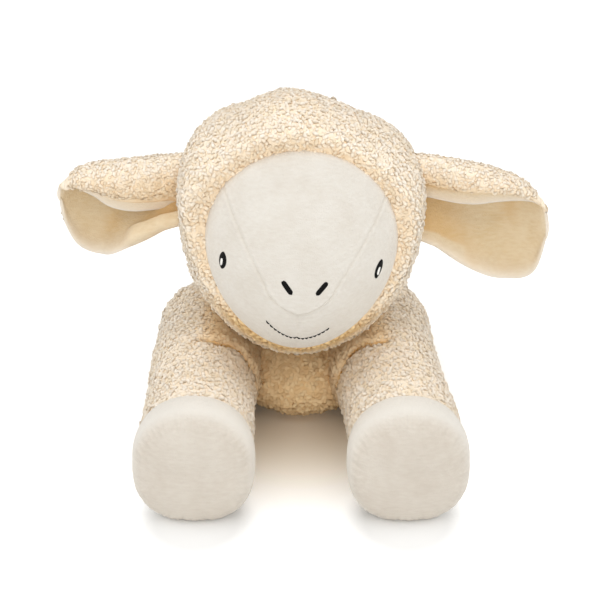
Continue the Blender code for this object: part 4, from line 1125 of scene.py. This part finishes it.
for seed, (label, ((radius, length), rows)) in enumerate(LEG_PLACES.items()):
    place = Matrix(rows)
    seam = length - HOOF_DEPTH
    root = radius * LEG_SWELL[0][1]
    profile = [(root * math.cos(a), root * math.sin(a)) for a in np.linspace(-math.pi / 2, 0, 40)[:-1]]
    profile += [(radius * smooth_curve(LEG_SWELL, np.array([s]))[0], s * seam) for s in np.linspace(0, 1, 60)]
    profile += [(radius * 0.9, seam + 0.003), (0.0, seam + 0.003)]
    points, faces = turned_points(even_line(profile, LEG_STEP), LEG_STEP)
    from_seam = seam - points[:, 2]
    low = placed(points, place)[:, 2]
    stands = soft_step(from_seam, -0.0005, 0.0015) * soft_step(low, FLOOR_PRESS, FLOOR_PRESS * 3)
    rim = np.sqrt(1 - (1 - np.clip((from_seam + 0.0005) / 0.005, 0, 1)) ** 2)
    drop = -CURL_ROOTS - 0.003 * (1 - rim)
    drop = np.where(from_seam < 0, -CURL_ROOTS - 0.003, drop) * np.where(low < FLOOR_PRESS * 2, 0.3, 1)
    full = SHOULDER_FULL * soft_step(-points[:, 2], -0.7 * seam, -0.35 * seam) * (low > FLOOR_PRESS * 2)
    towards = abs(place.translation.x) - points_side(points, place)     # the lamb's middle
    # painted shade on the leg's inner side and where it lies against the body
    tan = soft_step(np.maximum(towards, 0), radius * 0.35, radius)
    tan = LEG_INNER_PAINTED_SHADE * tan * soft_step(-points[:, 2], -seam * 0.75, -seam * 0.45)
    spots = placed(points, place)
    spots[:, 0] -= SHOULDER_IN.get(label, 0.0) * soft_step(-points[:, 2], -0.95 * seam, -0.25 * seam)
    to_body = np.array([torso_surface.find_nearest(Vector(spot))[3] for spot in spots])
    tan = np.maximum(tan, LEG_TOUCH_PAINTED_SHADE * np.exp(-(to_body / FOLD_REACH) ** 2))
    if label.startswith("front"):
        inside = soft_step(towards, -0.008, 0.006)
        before = points[:, 2] - (FOLD_AT + FOLD_WAVE[0] * np.sin(towards * FOLD_WAVE[1]))
        fold = inside * np.exp(-(before / FOLD_WIDTH) ** 2)
        full = full + BEHIND_FOLD * inside * soft_step(-before, 0.0, 0.007) - FOLD_DEPTH * fold
        # painted shade: darkest down in the fold, and tan behind it
        dark = inside * np.exp(-(before / (1.15 * FOLD_WIDTH)) ** 2)
        in_shade = inside * soft_step(-before, -0.0005, 0.0015)
        tan = np.maximum(np.maximum(tan, BEHIND_FOLD_PAINTED_SHADE * in_shade), dark)
        stands = stands * (1 - 0.5 * fold)
    mesh = cloth_mesh(label, spots, faces, drop + full, stands, tan)
    fleece_piece(label, mesh, label, 30 + seed, (f"{label}_sleeve", f"{label}_stuffing"))

    edge = length - SOLE_DOME
    hoof_run = edge - seam
    profile = [(0.0, seam - 0.004), (radius * 0.9, seam - 0.004)]
    profile += [
        (radius * smooth_curve(HOOF_SWELL, np.array([s]))[0] - SEAM_DIP * math.exp(-((1 - s) * 9) ** 2),
         seam - 0.002 + (hoof_run + 0.002) * s) for s in np.linspace(0, 1, 50)
    ]
    sole = radius * HOOF_SWELL[-1][1] - SEAM_DIP
    profile += [
        (sole * (1 - s), edge + 0.0004 + HOOF_DOME * (1 - (1 - s) ** 2.7)) for s in
        np.linspace(0, 1, 50)[1:]
    ]
    points, faces = turned_points(even_line(profile, HOOF_STEP), HOOF_STEP)
    angle = np.arctan2(points[:, 1], points[:, 0])
    from_edge = np.hypot(points[:, 2] - edge, np.hypot(points[:, 0], points[:, 1]) - sole)
    at_edge = np.exp(-(from_edge / GATHER_REACH) ** 2)
    (fine, fine_shift, fine_deep), (broad, broad_shift, broad_deep) = GATHERS
    gather = np.cos(angle * fine + fine_shift * np.sin(angle * 3)) * fine_deep
    gather = gather + np.cos(angle * broad + broad_shift) * broad_deep
    # painted light: the band is paler than the sole
    band = soft_step(-points[:, 2], -edge - 0.001, -edge + 0.007)
    power = np.where(placed(points, place)[:, 2] < place.translation.z, HOOF_SQUARE, 2.1)
    square = (np.abs(np.cos(angle)) ** power + np.abs(np.sin(angle)) ** power) ** (-1 / power)
    lowness = np.clip((place.translation.z - placed(points, place)[:, 2]) / radius, 0, 1)
    forward = soft_step(points[:, 2], seam, edge)
    spread = square * (1 + HOOF_SPREAD * lowness * forward)
    points[:, 2] += HOOF_TOE * lowness * forward
    points[:, :2] *= spread[:, None]
    points = placed(points, place)
    points[:, 2] = np.maximum(points[:, 2], 0.0)
    mesh = cloth_mesh(f"{label}_hoof", points, faces, gather * at_edge)
    own = np.array([v.co[:] for v in mesh.vertices])
    own[:, 2] = np.maximum(own[:, 2], 0.0)
    mesh.vertices.foreach_set("co", own.ravel())
    note(mesh, "crease", band)
    mesh.materials.append(HOOF_PLUSH)
    hoof = place_piece(f"{label}_hoof", mesh, label)
    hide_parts(f"{label}_hoof_band", f"{label}_sole")

# --- Tail ------------------------------------------------------------------------------------------
# A short stuffed tail of the same fleece hangs down the rump.
TAIL_PLACE = Matrix(((1, 0, 0, 0), (0, -0.6427876, 0.7660444, 0.1185), (0, -0.7660444, -0.6427876, 0.073),
                     (0, 0, 0, 1)))
TAIL_ROOT = 0.0075
TAIL_LENGTH = 0.034
TAIL_HALF_WIDTH = 0.0105
TAIL_WIDTH = ((0.0, 0.714), (0.3, 0.85), (0.6, 1.0), (0.8, 0.86), (0.93, 0.56), (1.0, 0.0))
profile = [(TAIL_ROOT * math.cos(a), TAIL_ROOT * math.sin(a)) for a in np.linspace(-math.pi / 2, 0, 12)[:-1]]
profile += [
    (TAIL_HALF_WIDTH * smooth_curve(TAIL_WIDTH, np.array([s]))[0], TAIL_LENGTH * s)
    for s in np.linspace(0, 1, 50)
]
points, faces = turned_points(even_line(profile, 0.001), 0.001)
mesh = cloth_mesh("tail", placed(points, TAIL_PLACE), faces, -CURL_ROOTS * 0.7, np.ones(len(points)))
fleece_piece("tail", mesh, "tail", 50, ("tail_cover", "tail_stuffing"), fine=0.85)

# --- Floor, light and camera -----------------------------------------------------------------------
# A white studio floor that runs far back, soft lamps round the lamb, and the photograph's view.
FLOOR_SIZE = 12.0
HOOF_SHADOW_SPOT = (0.056, 0.142)   # painted contact shadow: the front hooves press on the floor here, and the floor's glow is held back round them
SPOT_EDGE = (0.020, 0.038)   # a spot fades out between these distances
NEAR_LAMB = (0.05, 0.15)     # and so does the painted shadow, warm and darker, on the paper close to the lamb
LAMB_SHAPE = (1.5, 1.0, 1.0)     # the lamb is longer than it is wide
PAPER_PAINTED_SHADOW = "#e2d8c8"
PAPER_FAR = "#f0f0ef"
bm = bmesh.new()
bmesh.ops.create_grid(bm, x_segments=1, y_segments=1, size=FLOOR_SIZE / 2)
floor_mesh = bpy.data.meshes.new("studio_floor")
bm.to_mesh(floor_mesh)
bm.free()
floor = bpy.data.objects.new("studio_floor", floor_mesh)
bpy.context.scene.collection.objects.link(floor)
PAPER, tree, shader = new_material("white_studio_paper")
seen = add_node(tree, "ShaderNodeLightPath").outputs["Is Camera Ray"]
coords = add_node(tree, "ShaderNodeTexCoord").outputs["Object"]
away = add_node(tree, "ShaderNodeVectorMath", {0: coords}, operation="LENGTH").outputs["Value"]
shaped = add_node(tree, "ShaderNodeVectorMath", {0: coords, 1: LAMB_SHAPE}, operation="MULTIPLY")
near = add_node(tree, "ShaderNodeVectorMath", {0: shaped}, operation="LENGTH").outputs["Value"]
far = add_node(
    tree, "ShaderNodeMapRange", {"Value": near, "From Min": NEAR_LAMB[0], "From Max": NEAR_LAMB[1]},
    interpolation_type="SMOOTHSTEP",
)
# painted shadow and painted warm bounce light: the paper and its glow are darker and warmer close to the lamb
paper, painted_bounce_tint = [
    add_node(tree, "ShaderNodeMix", {0: far, 6: close, 7: distant}, data_type="RGBA").outputs[2]
    for close, distant in ((linear(PAPER_PAINTED_SHADOW), linear(PAPER_FAR)), (linear("#ffe8bd"), (1, 1, 1, 1)))
]
give(tree, shader, {"Base Color": paper, "Roughness": 1.0, "Specular IOR Level": 0.0})
# painted shadow: the glow that whitens the floor is held back close to the lamb
washed = add_node(tree, "ShaderNodeMapRange", {"Value": far, "To Min": 0.01, "To Max": 0.40})
for side, label in ((1, "front_leg_left"), (-1, "front_leg_right")):     # the painted shadow spots go where the hooves go
    by_hoof = add_node(tree, "ShaderNodeTexCoord", object=bpy.data.objects[f"{label}_hoof"]).outputs["Object"]
    from_spot = add_node(
        tree, "ShaderNodeVectorMath", {0: by_hoof, 1: (side * HOOF_SHADOW_SPOT[0], -HOOF_SHADOW_SPOT[1], 0.0)},
        operation="DISTANCE",
    ).outputs["Value"]
    clear = add_node(
        tree, "ShaderNodeMapRange", {"Value": from_spot, "From Min": SPOT_EDGE[0], "From Max": SPOT_EDGE[1]},
        interpolation_type="SMOOTHSTEP",
    )
    washed = add_node(tree, "ShaderNodeMath", {0: washed, 1: clear}, operation="MULTIPLY")
farther = add_node(
    tree, "ShaderNodeMapRange", {"Value": away, "From Min": 0.3, "From Max": 1.5, "To Max": 0.3},
)
washed = add_node(tree, "ShaderNodeMath", {0: washed, 1: farther}, operation="ADD")
glow = add_node(tree, "ShaderNodeEmission", {"Color": painted_bounce_tint, "Strength": washed})
dark = add_node(tree, "ShaderNodeEmission", {"Color": (0, 0, 0, 1), "Strength": 0.0})
lit = add_node(tree, "ShaderNodeMixShader", {0: seen, 1: dark, 2: glow})
total = add_node(tree, "ShaderNodeAddShader", {0: shader, 1: lit})
give(tree, tree.nodes["Material Output"], {"Surface": total})
floor_mesh.materials.append(PAPER)

world = bpy.data.worlds.new("studio")
bpy.context.scene.world = world
world.use_nodes = True
tree = world.node_tree
path = add_node(tree, "ShaderNodeLightPath").outputs
plain = add_node(
    tree, "ShaderNodeMath", {0: path["Is Camera Ray"], 1: path["Is Glossy Ray"]}, operation="MAXIMUM",
)
strength = add_node(tree, "ShaderNodeMapRange", {"Value": plain, "To Min": 0.48, "To Max": 1.0})
give(tree, tree.nodes["Background"], {"Color": (1.0, 1.0, 1.0, 1.0), "Strength": strength})


for name, place, aim_height, size, power in (
    ("overhead_softbox", (0.0, -0.28, 1.3), 0.05, 1.3, 7.1),
    ("left_softbox", (-1.2, 0.0, 0.7), 0.1, 0.8, 4.2),
    ("right_softbox", (1.2, 0.0, 0.7), 0.1, 0.8, 4.2),
    ("front_softbox", (0.0, -1.35, 0.55), 0.05, 0.8, 5.0),
    ("low_front_softbox", (0.0, -1.5, 0.15), 0.05, 1.0, 2.0),
    ("back_softbox", (0.0, 1.4, 0.60), 0.05, 1.0, 1.0),
):
    lamp = bpy.data.lights.new(name, "AREA")
    lamp.shape = "SQUARE"
    lamp.size = size
    lamp.energy = power
    made = bpy.data.objects.new(name, lamp)
    bpy.context.scene.collection.objects.link(made)
    made.location = place
    made.rotation_euler = (Vector((0, 0, aim_height)) - Vector(place)).to_track_quat("-Z", "Y").to_euler()

CAMERA_ELEVATION_DEG = 27.0
CAMERA_AIM = Vector((0.0, -0.025, 0.121))
CAMERA_DISTANCE = 1.0
SENSOR = 36.0
PICTURE_WIDTH = 0.336        # of the object's space that the picture shows, at the aim
PICTURE_PIXELS = 600
AIM_PIXEL = (301, 221)
elevation = math.radians(CAMERA_ELEVATION_DEG)
looking = Vector((0, math.cos(elevation), -math.sin(elevation)))
lens = bpy.data.cameras.new("camera")
lens.sensor_width = SENSOR
lens.lens = SENSOR * CAMERA_DISTANCE / PICTURE_WIDTH
lens.shift_x = (PICTURE_PIXELS / 2 - AIM_PIXEL[0]) / PICTURE_PIXELS
lens.shift_y = (AIM_PIXEL[1] - PICTURE_PIXELS / 2) / PICTURE_PIXELS
camera = bpy.data.objects.new("camera", lens)
bpy.context.scene.collection.objects.link(camera)
camera.location = CAMERA_AIM - looking * CAMERA_DISTANCE
camera.rotation_euler = looking.to_track_quat("-Z", "Y").to_euler()
bpy.context.scene.camera = camera
bpy.context.scene.view_settings.view_transform = "Standard"
